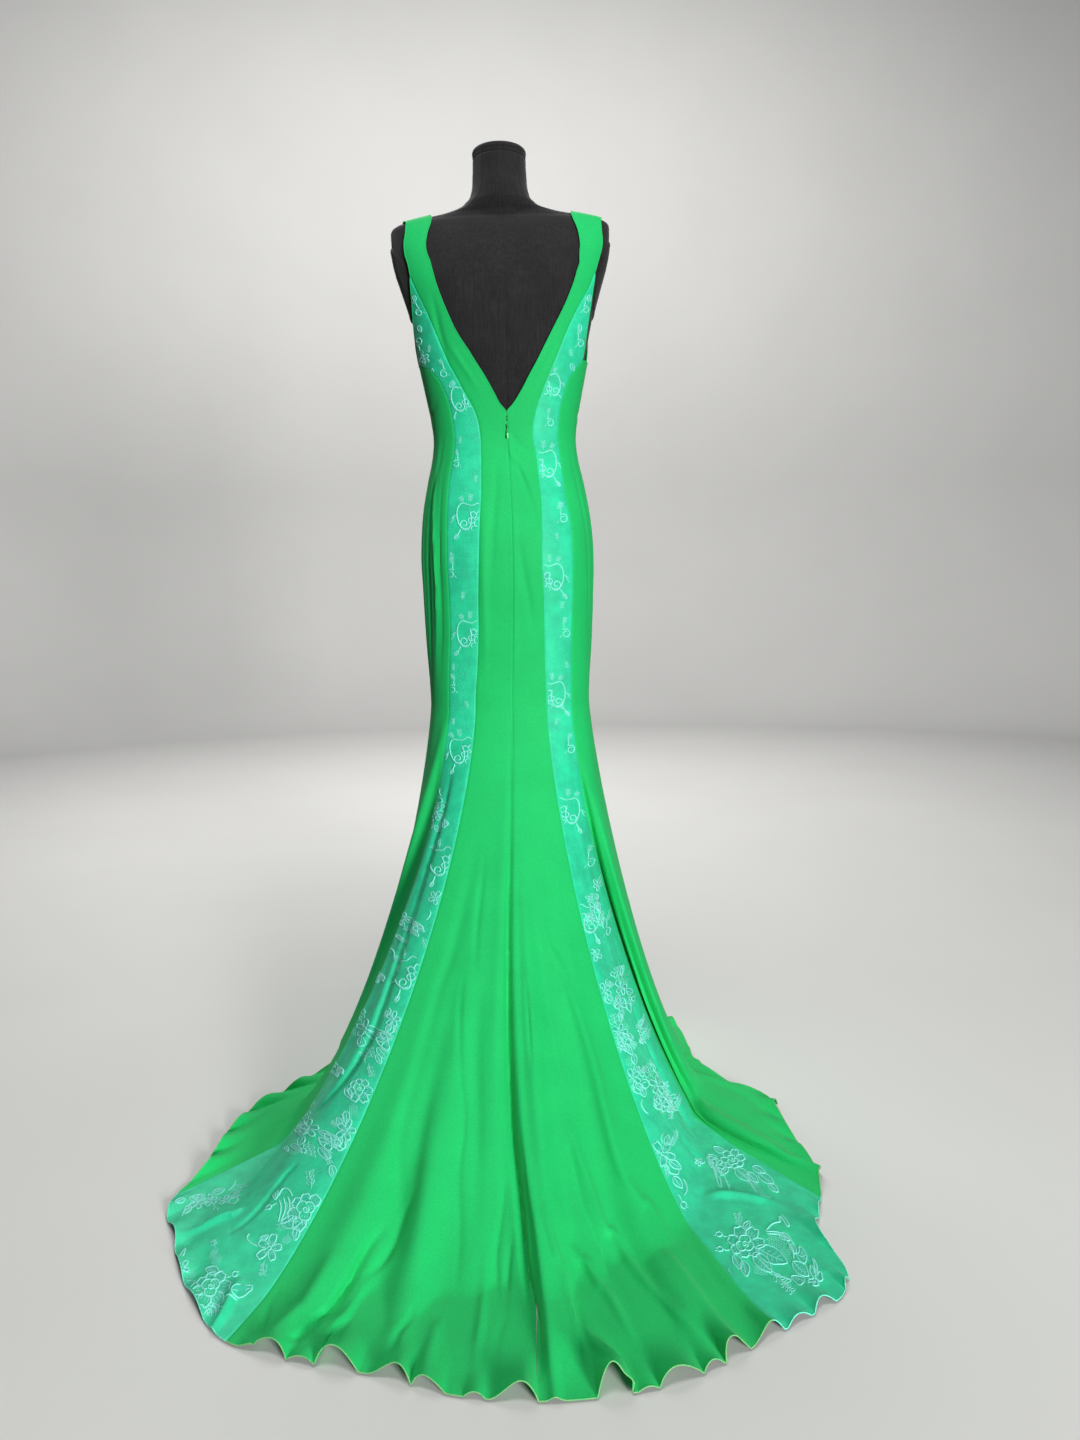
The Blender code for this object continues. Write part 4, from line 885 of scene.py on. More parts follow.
# Panels whose part of the hem is crepe and lace, as places round the dress
CREPE_SPANS = ((-4.0, -3.0), (-3.0, -2.0), (-1.0, 0.0), (0.0, 1.0), (2.0, 3.0), (3.0, 4.0))
LACE_SPANS = ((-2.0, -1.0), (1.0, 2.0))
HEM_POINT_STEP = 0.0022


def hem_object(name, spans, radius):
    """The narrow rolled hem along the lower edge of some panels."""
    lines = []
    for start, end in spans:
        rough = np.linspace(start + EDGE_INSET, end - EDGE_INSET, 60)
        length = np.linalg.norm(np.diff(cloth_point(np.full(60, -1.0), rough), axis=0), axis=1).sum()
        around = np.linspace(start + EDGE_INSET, end - EDGE_INSET,
                             max(12, round(length / HEM_POINT_STEP)))
        line = dressed_point(np.full(len(around), -1.0), around)
        line[:, 2] = np.maximum(line[:, 2] - CLOTH_THICKNESS / 2.0, radius)
        lines.append(line)
    return tube_object(name, lines, radius, sides=8)


FORM_COLUMNS = 168
FORM_ROW_STEP = 0.006
FORM_BOTTOM = 0.78
FORM_SEAM_DEPTH = 0.0013
FORM_SEAM_WIDTH = 0.0012
FORM_SEAMS = (0.0, 42.0, 90.0, 138.0, 180.0, 222.0, 270.0, 318.0)
SEAM_COLUMN_TURNS = (-1.6, -0.8, -0.35, 0.0, 0.35, 0.8, 1.6)
CAP_SEAM = 1.6130


def form_object():
    """The dress form's padded cover, with its lengthwise seams and the one below the neck cap."""
    low = np.linspace(FORM_BOTTOM, 1.48, round((1.48 - FORM_BOTTOM) / FORM_ROW_STEP), endpoint=False)
    shoulder = np.linspace(1.48, 1.56, 60, endpoint=False)
    neck = np.linspace(1.56, NECK_TOP, 12)
    beside = CAP_SEAM + FORM_SEAM_WIDTH * np.array([-2.0, -1.0, 0.0, 1.0, 2.0])
    heights = np.unique(np.concatenate([low, shoulder, neck, beside]))
    even = np.linspace(0.0, 360.0, FORM_COLUMNS, endpoint=False)
    near = np.array([seam + turn for seam in FORM_SEAMS for turn in SEAM_COLUMN_TURNS]) % 360.0
    turns = np.unique(np.round(np.concatenate([even, near]), 3))
    height, degrees = (grid.ravel() for grid in np.meshgrid(heights, turns, indexing="ij"))
    inset = FORM_SEAM_DEPTH * np.exp(-((height - CAP_SEAM) / FORM_SEAM_WIDTH) ** 2)
    for seam in FORM_SEAMS:
        off = np.abs((degrees - seam + 180.0) % 360.0 - 180.0)
        distance = np.radians(off) * 0.12
        inset += FORM_SEAM_DEPTH * np.exp(-(distance / FORM_SEAM_WIDTH) ** 2)
    points = form_point(height, np.radians(degrees), inset)
    return mesh_object("form_cover", points, tube_faces(len(heights), len(turns)))


CAP_HEIGHT = 0.012
CAP_PROFILE = (
    (1.0, 0.03), (1.012, 0.10), (1.015, 0.25), (1.010, 0.42), (0.99, 0.60), (0.95, 0.74), (0.86, 0.86),
    (0.70, 0.94), (0.45, 0.99), (0.20, 1.0),
)


def cap_object():
    """The rounded cap of the neck, with a piped seam below it."""
    angles = np.linspace(0.0, 2.0 * math.pi, 96, endpoint=False)
    half, back, front, square = figure_size(np.array([NECK_TOP]))
    sine, cosine = np.sin(angles), np.cos(angles)
    points = []
    for share, rise in CAP_PROFILE:
        x = np.sign(sine) * np.abs(sine) ** (2.0 / square) * (half - FORM_INSET) * share
        depth = np.where(cosine > 0.0, back, front) - FORM_INSET
        y = np.sign(cosine) * np.abs(cosine) ** (2.0 / square) * depth * share
        points.append(np.stack([x, y, np.full(len(angles), NECK_TOP + CAP_HEIGHT * rise)], axis=1))
    return mesh_object("form_neck_cap", np.vstack(points), tube_faces(len(CAP_PROFILE), len(angles)))


# Embroidery, drawn in millimetres round a motif's centre: x runs away from the centre back and y
# down the panel


def ellipse_arc(centre, radii, start, end, count=26):
    turn = np.radians(np.linspace(start, end, count))
    return np.stack([centre[0] + radii[0] * np.cos(turn), centre[1] + radii[1] * np.sin(turn)], axis=1)


def coil(centre, start_radius, end_radius, start, turns, count=34):
    turn = np.radians(start + 360.0 * turns * np.linspace(0.0, 1.0, count))
    radius = np.linspace(start_radius, end_radius, count)
    return np.stack([centre[0] + radius * np.cos(turn), centre[1] + radius * np.sin(turn)], axis=1)


def petal(inner, outer, heading, half_turn, ruffle=0.0, count=24):
    """Outline of a petal round a flower's centre, between two radii."""
    share = np.linspace(0.0, 1.0, count)
    turn = np.radians(heading - half_turn + 2.0 * half_turn * share)
    waved = 1.0 + ruffle * np.cos(6.0 * math.pi * share)
    radius = inner + (outer - inner) * np.sin(math.pi * share) ** 0.5 * waved
    return np.stack([radius * np.cos(turn), radius * np.sin(turn)], axis=1)


def turned(points, degrees, move=(0.0, 0.0), size=1.0):
    turn = math.radians(degrees)
    matrix = np.array([[math.cos(turn), math.sin(turn)], [-math.sin(turn), math.cos(turn)]])
    return np.asarray(points, dtype=float) * size @ matrix + np.asarray(move)


class Motif:
    """Cords, with their radii, and filled petals, with the heading of their threads."""

    def __init__(self):
        self.cords = []
        self.fills = []

    def cord(self, points, radius=1.0):
        self.cords.append((np.asarray(points, dtype=float), radius))

    def fill(self, outline, heading):
        self.fills.append((np.asarray(outline, dtype=float), heading))

    def add(self, other, degrees=0.0, move=(0.0, 0.0), size=1.0):
        for points, radius in other.cords:
            self.cord(turned(points, degrees, move, size), radius)
        for outline, heading in other.fills:
            self.fill(turned(outline, degrees, move, size), heading + degrees)
        return self


def leaf(length=15.0, width=7.5, veins=4):
    """A pointed leaf along x, with toothed edges and thread veins."""
    motif = Motif()
    share = np.linspace(0.0, 1.0, 22)
    teeth = 1.0 + 0.13 * np.abs(np.sin(5.0 * math.pi * share))
    bulge = 0.5 * width * np.sin(math.pi * share ** 0.85) ** 0.8 * teeth
    upper = np.stack([length * share, -bulge], axis=1)
    lower = np.stack([length * share, bulge], axis=1)
    outline = np.vstack([upper, lower[::-1][1:]])
    motif.cord(outline, 1.05)
    motif.cord([(0.0, 0.0), (length * 0.5, 0.3), (length * 0.88, 0.0)], 0.7)
    for k in range(veins):
        start = length * (0.2 + 0.6 * k / veins)
        reach = 0.34 * width * math.sin(math.pi * (0.2 + 0.65 * k / veins))
        for way in (-1.0, 1.0):
            motif.cord([(start, 0.0), (start + 0.7 * reach, way * reach)], 0.45)
    motif.fill(outline[:-1], 60.0)
    return motif


def spokes(motif, headings, inner, outer, radius=0.5):
    """Fine straight threads away from a flower's centre."""
    for heading in headings:
        way = np.array([math.cos(math.radians(heading)), math.sin(math.radians(heading))])
        motif.cord([way * inner, way * outer], radius)


def rose():
    """An open rose, about 48 mm across: a coiled heart in cupped and then ruffled petals."""
    motif = Motif()
    motif.cord(coil((0.0, 0.0), 0.8, 4.4, 30.0, 1.6), 1.1)
    for heading, reach in ((80.0, 11.8), (200.0, 10.2), (320.0, 11.2)):
        motif.cord(petal(5.0, reach, heading, 64.0, 0.05), 1.3)
        spokes(motif, (heading - 22.0, heading, heading + 22.0), 6.4, 9.0)
    for k, reach in enumerate((21.0, 24.0, 25.0, 23.0, 19.5, 17.0, 18.5)):
        heading = 360.0 * k / 7.0 + 10.0
        outline = petal(11.0, reach, heading, 30.0, 0.11, 30)
        motif.cord(outline, 1.35)
        motif.fill(outline, heading)
        spokes(motif, (heading - 13.0, heading + 1.0, heading + 14.0), 12.4, 11.0 + 0.6 * (reach - 11.0))
    return motif


def flower(count=5, reach=15.0):
    """An open flower of a few wavy petals round a ring of knots."""
    motif = Motif()
    motif.cord(ellipse_arc((0.0, 0.0), (2.2, 2.2), 0.0, 330.0, 14), 1.3)
    for k in range(count):
        heading = 360.0 * k / count + 15.0
        outline = petal(3.2, reach * (1.0 + 0.10 * math.cos(1.9 * k)), heading, 150.0 / count, 0.07)
        motif.cord(outline, 1.25)
        motif.fill(outline, heading)
        spokes(motif, (heading - 9.0, heading + 9.0), 4.4, 0.62 * reach)
    return motif


def bud():
    """A round bud on a short stem along x."""
    motif = Motif()
    motif.cord(ellipse_arc((12.0, 0.0), (3.6, 3.0), 0.0, 345.0, 20), 1.2)
    motif.fill(ellipse_arc((12.0, 0.0), (3.6, 3.0), 0.0, 340.0, 16), 0.0)
    motif.cord([(0.0, 0.0), (4.0, -1.0), (8.6, 0.0)], 0.9)
    motif.cord([(14.8, -1.6), (17.5, -2.8)], 0.7)
    motif.cord([(15.2, 1.2), (18.0, 1.6)], 0.7)
    return motif


def filler(half_width=12.0, half_height=7.0, pitch=3.1):
    """A patch of small net rings between the flowers."""
    motif = Motif()
    rows = int(half_height / pitch)
    for row in range(-rows, rows + 1):
        for column in range(-6, 7):
            x, y = pitch * (column + 0.5 * (row % 2)), pitch * 0.9 * row
            if (x / half_width) ** 2 + (y / half_height) ** 2 < 1.0:
                motif.cord(ellipse_arc((x, y), (1.15, 1.0), 20.0 * column, 300.0 + 20.0 * column, 7),
                           0.42)
    return motif


def sprig(length=15.0):
    """A fine stem with pairs of small looped leaves."""
    motif = Motif()
    motif.cord([(0.0, 0.0), (0.4 * length, -1.0), (0.8 * length, 0.6), (length, 0.0)], 0.45)
    for k in range(3):
        for way in (-1.0, 1.0):
            start = (length * (0.25 + 0.27 * k), 0.0)
            loop = turned(ellipse_arc((2.2, 0.0), (2.2, 1.1), 180.0, 520.0, 12), 48.0 * way, start)
            motif.cord(loop, 0.42)
    return motif


def body_spray():
    """Half a rose beside the inner seam, an oval loop with a coil at its foot, and a tail."""
    motif = Motif()
    motif.cord(turned(ellipse_arc((0.0, 0.0), (11.0, 20.5), -125.0, 200.0, 40), 6.0, (3.0, -3.0)), 1.6)
    motif.cord(coil((3.0, 8.5), 2.2, 7.6, 40.0, 1.25), 1.5)
    motif.cord([(9.0, 15.5), (11.0, 20.0), (15.0, 25.0), (19.0, 29.0)], 1.6)
    motif.add(leaf(10.0, 4.6, 1), 45.0, (13.0, 24.0))
    motif.cord([(14.0, -6.0), (19.0, -4.0), (24.0, 0.0)], 1.1)
    motif.cord([(18.0, -4.0), (22.0, 3.0), (25.0, 6.0)], 0.9)
    motif.cord([(0.0, -22.5), (-9.0, -19.5), (-18.0, -23.0), (-23.0, -19.0)], 1.2)
    for k, reach in enumerate((13.0, 12.0, 11.5, 13.0, 12.0)):
        heading = 72.0 * k + 20.0
        outline = turned(petal(4.0, reach, heading, 37.0, 0.08), 0.0, (-16.0, 0.5))
        motif.cord(outline, 1.5)
        motif.fill(outline, heading)
    motif.cord(coil((-16.0, 0.5), 1.2, 3.6, 0.0, 1.2, 18), 1.3)
    motif.cord([(-12.0, 10.5), (-7.0, 14.0), (-9.0, 18.5)], 1.2)
    motif.add(sprig(13.0), -96.0, (-6.0, -24.0))
    motif.add(sprig(9.0), -60.0, (4.0, -25.0))
    return motif


def single_curl():
    motif = Motif()
    motif.cord(coil((0.0, 0.0), 8.0, 3.2, -130.0, 1.2), 1.35)
    motif.cord([(-5.2, -6.0), (-3.0, -13.0), (-5.5, -19.0)], 1.1)
    motif.add(sprig(11.0), -80.0, (-3.0, -16.0))
    motif.cord([(-7.0, 3.0), (-10.0, 7.5)], 0.9)
    return motif


def comma():
    motif = Motif()
    motif.cord([(0.0, -9.0), (-1.0, -3.0), (3.0, 4.0), (7.0, 7.0)], 1.5)
    return motif


# Larger bouquets: smaller motifs as kind, place, turn and size, and single cords with their radii
BOUQUETS = {
    "left_bouquet": (
        (("rose", 0, 0, 0, 1.15), ("filler", 22, -6, 80, 1.0), ("filler", 28, 16, 0, 0.9),
         ("leaf", 33, 12, 175, 1.9), ("leaf", 12, 20, 80, 1.1), ("flower", 47, 42, 20, 1.1),
         ("filler", 24, 33, 40, 0.7), ("bud", 38, -15, 12, 1.0), ("sprig", -9, -24, 272, 1.7),
         ("sprig", 52, 56, 80, 1.3), ("leaf", 60, 30, 200, 0.8), ("leaf", 42, -36, 95, 1.0)),
        (((17, -20), (23, -31), (31, -34), (37, -25)), ((36, -20), (33, -8), (36, 10)),
         ((30, -22), (27, -6), (33, 11)), ((62, 38), (72, 32), (77, 25), (74, 20)),
         ((35, 13), (24, 12), (14, 6)), ((24, -22), (21, -8), (25, 6))),
    ),
    "left_spray": (
        (("flower", 30, 2, 10, 0.85), ("flower", 12, 4, 40, 0.7), ("leaf", 8, -8, 190, 1.2),
         ("leaf", 36, -8, 160, 1.2), ("flower", -8, 12, 20, 0.65), ("filler", 20, -7, 0, 0.8),
         ("bud", 8, 14, 95, 1.0), ("filler", 0, 4, 20, 0.7), ("leaf", 40, 4, 60, 1.1),
         ("sprig", -12, -2, 185, 1.9), ("sprig", -16, 6, 190, 1.2), ("leaf", 46, -6, 20, 1.0),
         ("comma", -24, 14, 100, 0.8), ("leaf", -14, 10, 170, 0.9)),
        (((-14, 12), (-22, 14), (-24, 24), (-16, 28), (-11, 23)), ((44, 8), (50, 14), (52, 22)),
         ((10, 10), (9, 16)), ((-14, -6), (-24, -16), (-27, -24)), ((-20, -14), (-32, -12), (-46, -8))),
    ),
    "left_rose": (
        (("rose", 0, 0, 0, 1.05), ("leaf", -10, -14, 320, 1.3), ("leaf", -24, 16, 185, 1.6),
         ("bud", -18, -6, 185, 1.0), ("filler", -8, -30, 60, 0.9), ("filler", -6, -42, 60, 0.7),
         ("leaf", 18, -14, 10, 1.6), ("leaf", -2, 20, 100, 1.2), ("flower", 34, -34, 0, 0.65),
         ("sprig", -8, -48, 280, 1.1), ("leaf", 2, 26, 60, 1.1), ("filler", 24, -24, 60, 0.8),
         ("leaf", 6, 22, 130, 1.2), ("sprig", -14, 34, 130, 1.2)),
        (((36, -42), (42, -52), (36, -60), (30, -55), (33, -50)), ((-8, 24), (-12, 32), (-16, 40)),
         ((-12, 18), (-20, 20), (-30, 24))),
    ),
    "right_bouquet": (
        (("rose", 0, 0, 180, 1.1), ("leaf", 14, 2, 18, 2.9), ("leaf", 12, 10, 42, 2.2),
         ("flower", 103, 36, 0, 1.15), ("sprig", -8, -22, 250, 1.6), ("leaf", -4, -22, 295, 1.0),
         ("bud", -22, -6, 185, 1.1), ("bud", -18, 12, 172, 1.1), ("filler", 40, -12, 20, 1.1),
         ("filler", 54, 4, 50, 0.9), ("leaf", 66, 1, 16, 1.9), ("leaf", 62, 12, 38, 1.9),
         ("leaf", 82, 41, 200, 1.5), ("leaf", -12, 18, 60, 1.4), ("leaf", 0, 24, 70, 1.4),
         ("sprig", 34, 34, 20, 1.8), ("sprig", 46, 40, 35, 1.5), ("leaf", 42, -24, 20, 1.2),
         ("sprig", -16, 36, 100, 1.2), ("filler", 22, 32, 10, 0.9), ("leaf", 58, -12, 60, 1.0)),
        (((25, -25), (34, -38), (49, -43), (60, -38), (64, -30), (78, -25), (80, -31)),
         ((27, -21), (45, -22), (56, -11), (62, 0), (63, 8)),
         ((26, -24), (42, -26), (54, -20), (64, -12)), ((84, 34), (92, 36)),
         ((20, 18), (40, 32), (62, 38))),
    ),
    "right_spray": (
        (("rose", 0, 0, 160, 0.85), ("leaf", 6, 12, 40, 2.0), ("leaf", 24, 16, 40, 1.5),
         ("filler", 30, 26, 60, 1.1), ("leaf", 40, 14, 30, 1.8), ("filler", 40, 40, 60, 0.9),
         ("flower", -22, 14, 0, 0.75), ("leaf", -14, -12, 200, 1.3), ("leaf", -24, 0, 170, 1.4),
         ("leaf", -38, 6, 150, 1.2), ("filler", -30, 2, 0, 0.9), ("leaf", -44, 2, 190, 1.1),
         ("sprig", -14, 26, 70, 1.2), ("leaf", 56, 28, 40, 1.3), ("leaf", 30, 4, 20, 1.4),
         ("sprig", 44, 48, 60, 1.4), ("leaf", -6, 14, 110, 1.1)),
        (((-36, 8), (-48, 12), (-52, 22), (-44, 29), (-36, 24), (-40, 18)),
         ((-20, 4), (-34, 0), (-46, 6)), ((16, 18), (30, 34), (38, 46))),
    ),
    "posy": (
        (("flower", 0, 0, 0, 0.85), ("leaf", 10, 8, 40, 1.0), ("leaf", -8, 8, 130, 1.0),
         ("sprig", 0, -10, 265, 1.4), ("bud", -6, -14, 240, 0.9), ("flower", -10, 22, 20, 0.65),
         ("leaf", 3, 25, 80, 1.1), ("sprig", 8, 16, 60, 1.3), ("filler", 13, -7, 60, 0.8),
         ("leaf", 7, -15, 300, 0.9), ("bud", 14, 18, 50, 0.8)),
        (((-14, 10), (-20, 18), (-16, 26), (-9, 24)), ((6, -12), (12, -20), (10, -29), (4, -26)),
         ((-4, 14), (0, 22), (-3, 33))),
    ),
    "seam_flower": (
        (("flower", 0, 0, 0, 1.0), ("leaf", 8, 8, 30, 1.2), ("leaf", 2, 12, 80, 1.1),
         ("leaf", 4, -10, 290, 1.0), ("sprig", 10, -8, 300, 1.1), ("flower", -6, 26, 0, 0.55),
         ("leaf", 0, 34, 80, 1.0)),
        (((4, 12), (8, 22), (18, 24), (20, 17)), ((0, -12), (-2, -20), (2, -27))),
    ),
}


def bouquet(name):
    motif = Motif()
    parts, lines = BOUQUETS[name]
    for kind, x, y, degrees, size in parts:
        motif.add(MOTIFS[kind](), degrees, (x, y), size)
    for line in lines:
        motif.cord(smooth_line(line, 6), 1.4)
    return motif


MOTIFS = {
    "rose": rose, "flower": flower, "sprig": sprig, "leaf": leaf, "bud": bud,
    "filler": filler, "body": body_spray, "curl": single_curl, "comma": comma,
}

# Where the motifs lie: kind, station, place across the panel from its inner seam, turn and size
LEFT_MOTIFS = (
    # Along the body
    ("leaf", 1.375, 0.55, 100.0, 0.7), ("curl", 1.345, 0.45, 30.0, 0.8),
    ("leaf", 1.325, 0.62, 110.0, 0.8), ("curl", 1.3, 0.72, 200.0, 0.8), ("sprig", 1.29, 0.3, 80.0, 0.9),
    ("flower", 1.268, 0.62, 0.0, 0.55), ("leaf", 1.25, 0.8, 80.0, 0.9), ("curl", 1.238, 0.5, 20.0, 0.9),
    ("leaf", 1.225, 0.25, 60.0, 0.9), ("body", 1.192, 0.45, 8.0, 1.0), ("curl", 1.086, 0.86, 0.0, 0.85),
    ("sprig", 1.135, 0.75, 80.0, 0.9), ("body", 0.99, 0.42, 0.0, 1.12), ("sprig", 1.05, 0.2, 260.0, 0.9),
    ("sprig", 0.935, 0.86, 95.0, 1.0), ("curl", 0.896, 0.9, 0.0, 1.0), ("sprig", 0.85, 0.55, 260.0, 1.0),
    ("body", 0.788, 0.44, 0.0, 1.12), ("curl", 0.692, 0.88, 0.0, 1.0), ("sprig", 0.64, 0.3, 280.0, 0.9),
    ("sprig", 0.74, 0.85, 85.0, 0.9), ("body", 0.534, 0.44, 8.0, 1.1), ("sprig", 0.58, 0.8, 265.0, 0.9),
    ("curl", 0.475, 0.84, 8.0, 1.0),
    # Below the knee
    ("body", 0.418, 0.24, 10.0, 1.12), ("flower", 0.392, 0.1, 0.0, 0.75),
    ("comma", 0.378, 0.1, 0.0, 1.0), ("sprig", 0.362, 0.1, 100.0, 1.1), ("curl", 0.366, 0.85, 10.0, 1.0),
    ("leaf", 0.352, 0.68, 120.0, 1.1), ("body", 0.331, 0.18, 12.0, 1.15),
    ("seam_flower", 0.302, 0.1, 20.0, 0.75), ("comma", 0.34, 0.55, 30.0, 1.2),
    ("posy", 0.367, 0.66, 20.0, 0.9), ("posy", 0.283, 0.42, 30.0, 1.15),
    ("posy", 0.195, 0.44, 25.0, 1.2), ("posy", 0.24, 0.66, 10.0, 0.8), ("posy", 0.46, 0.74, 0.0, 0.7),
    ("posy", 0.318, 0.78, 0.0, 0.75), ("sprig", 0.268, 0.16, 100.0, 1.3),
    ("leaf", 0.276, 0.12, 110.0, 1.0),
    # The rose at the outer seam
    ("rose", 0.182, 0.6, 0.0, 0.85), ("leaf", 0.196, 0.7, 300.0, 1.4),
    ("sprig", 0.206, 0.58, 280.0, 1.4), ("leaf", 0.17, 0.52, 130.0, 1.4),
    ("flower", 0.168, 0.72, 0.0, 0.7), ("leaf", 0.158, 0.6, 100.0, 1.2),
    ("filler", 0.176, 0.42, 60.0, 0.9),
    # The flowers along the inner seam
    ("rose", 0.25, 0.14, 0.0, 0.8), ("sprig", 0.266, 0.2, 290.0, 1.4), ("leaf", 0.242, 0.28, 120.0, 1.2),
    ("seam_flower", 0.222, 0.08, 14.0, 0.95), ("leaf", 0.232, 0.16, 90.0, 1.2),
    ("filler", 0.236, 0.1, 90.0, 0.9), ("leaf", 0.196, 0.06, 100.0, 1.2),
    ("sprig", 0.2, 0.16, 110.0, 1.2),
    # The train
    ("left_bouquet", 0.157, 0.07, 0.0, 1.0), ("left_spray", -0.38, 0.78, 4.0, 1.0),
    ("left_rose", -0.639, 0.24, 0.0, 1.0),
)
RIGHT_MOTIFS = (
    # Along the body
    ("leaf", 1.37, 0.55, 100.0, 0.8), ("curl", 1.345, 0.6, 10.0, 0.8), ("leaf", 1.32, 0.45, 80.0, 0.8),
    ("curl", 1.29, 0.72, 0.0, 0.85), ("sprig", 1.28, 0.35, 80.0, 0.9), ("leaf", 1.255, 0.62, 70.0, 0.9),
    ("body", 1.215, 0.4, -6.0, 0.9), ("curl", 1.155, 0.66, 0.0, 0.9), ("body", 1.08, 0.42, 0.0, 1.12),
    ("sprig", 1.02, 0.7, 95.0, 1.0), ("curl", 0.988, 0.74, 0.0, 1.05), ("sprig", 0.95, 0.5, 260.0, 0.9),
    ("body", 0.884, 0.38, 0.0, 1.12), ("sprig", 0.83, 0.6, 280.0, 1.0), ("curl", 0.788, 0.78, 0.0, 1.05),
    ("sprig", 0.74, 0.8, 85.0, 0.9), ("body", 0.676, 0.4, 0.0, 1.12), ("sprig", 0.615, 0.6, 270.0, 1.0),
    ("curl", 0.533, 0.78, 0.0, 1.05), ("sprig", 0.575, 0.3, 280.0, 0.9),
    # Below the knee
    ("body", 0.46, 0.38, 4.0, 1.12), ("curl", 0.408, 0.72, 0.0, 1.05), ("flower", 0.386, 0.8, 0.0, 0.7),
    ("body", 0.364, 0.2, 10.0, 1.12), ("flower", 0.338, 0.1, 0.0, 0.7), ("leaf", 0.374, 0.62, 80.0, 1.0),
    ("posy", 0.372, 0.45, -10.0, 0.8), ("posy", 0.301, 0.56, -20.0, 1.15),
    ("posy", 0.275, 0.13, -20.0, 0.95), ("seam_flower", 0.31, 0.08, 14.0, 0.75),
    ("curl", 0.346, 0.7, 0.0, 1.0), ("posy", 0.25, 0.74, -30.0, 0.85),
    # The flowers along the inner seam
    ("rose", 0.268, 0.12, 0.0, 0.72), ("leaf", 0.284, 0.2, 300.0, 1.1), ("leaf", 0.252, 0.24, 80.0, 1.1),
    ("seam_flower", 0.238, 0.08, 14.0, 0.85), ("filler", 0.25, 0.12, 80.0, 0.8),
    ("leaf", 0.226, 0.16, 70.0, 1.1), ("comma", 0.212, 0.06, 0.0, 1.3),
    # The spray in the middle
    ("curl", 0.224, 0.24, 0.0, 1.0), ("posy", 0.208, 0.5, -35.0, 1.3), ("posy", 0.176, 0.66, -40.0, 1.0),
    ("filler", 0.204, 0.44, 60.0, 0.9), ("leaf", 0.186, 0.66, 60.0, 1.2),
    ("sprig", 0.176, 0.56, 90.0, 1.4), ("filler", 0.19, 0.36, 60.0, 0.8),
    ("leaf", 0.224, 0.58, 250.0, 1.2), ("sprig", 0.16, 0.44, 90.0, 1.2), ("flower", 0.18, 0.8, 0.0, 0.6),
    # The train
    ("seam_flower", 0.163, 0.08, 0.0, 1.15), ("filler", 0.15, 0.14, 60.0, 0.9),
    ("leaf", 0.134, 0.08, 50.0, 1.3), ("bud", 0.112, 0.04, 60.0, 1.3),
    ("comma", 0.104, 0.16, 200.0, 1.3), ("flower", 0.088, 0.5, 0.0, 0.5),
    ("right_spray", -0.3, 0.8, 8.0, 1.0), ("right_bouquet", -0.403, 0.22, 6.0, 1.0),
)


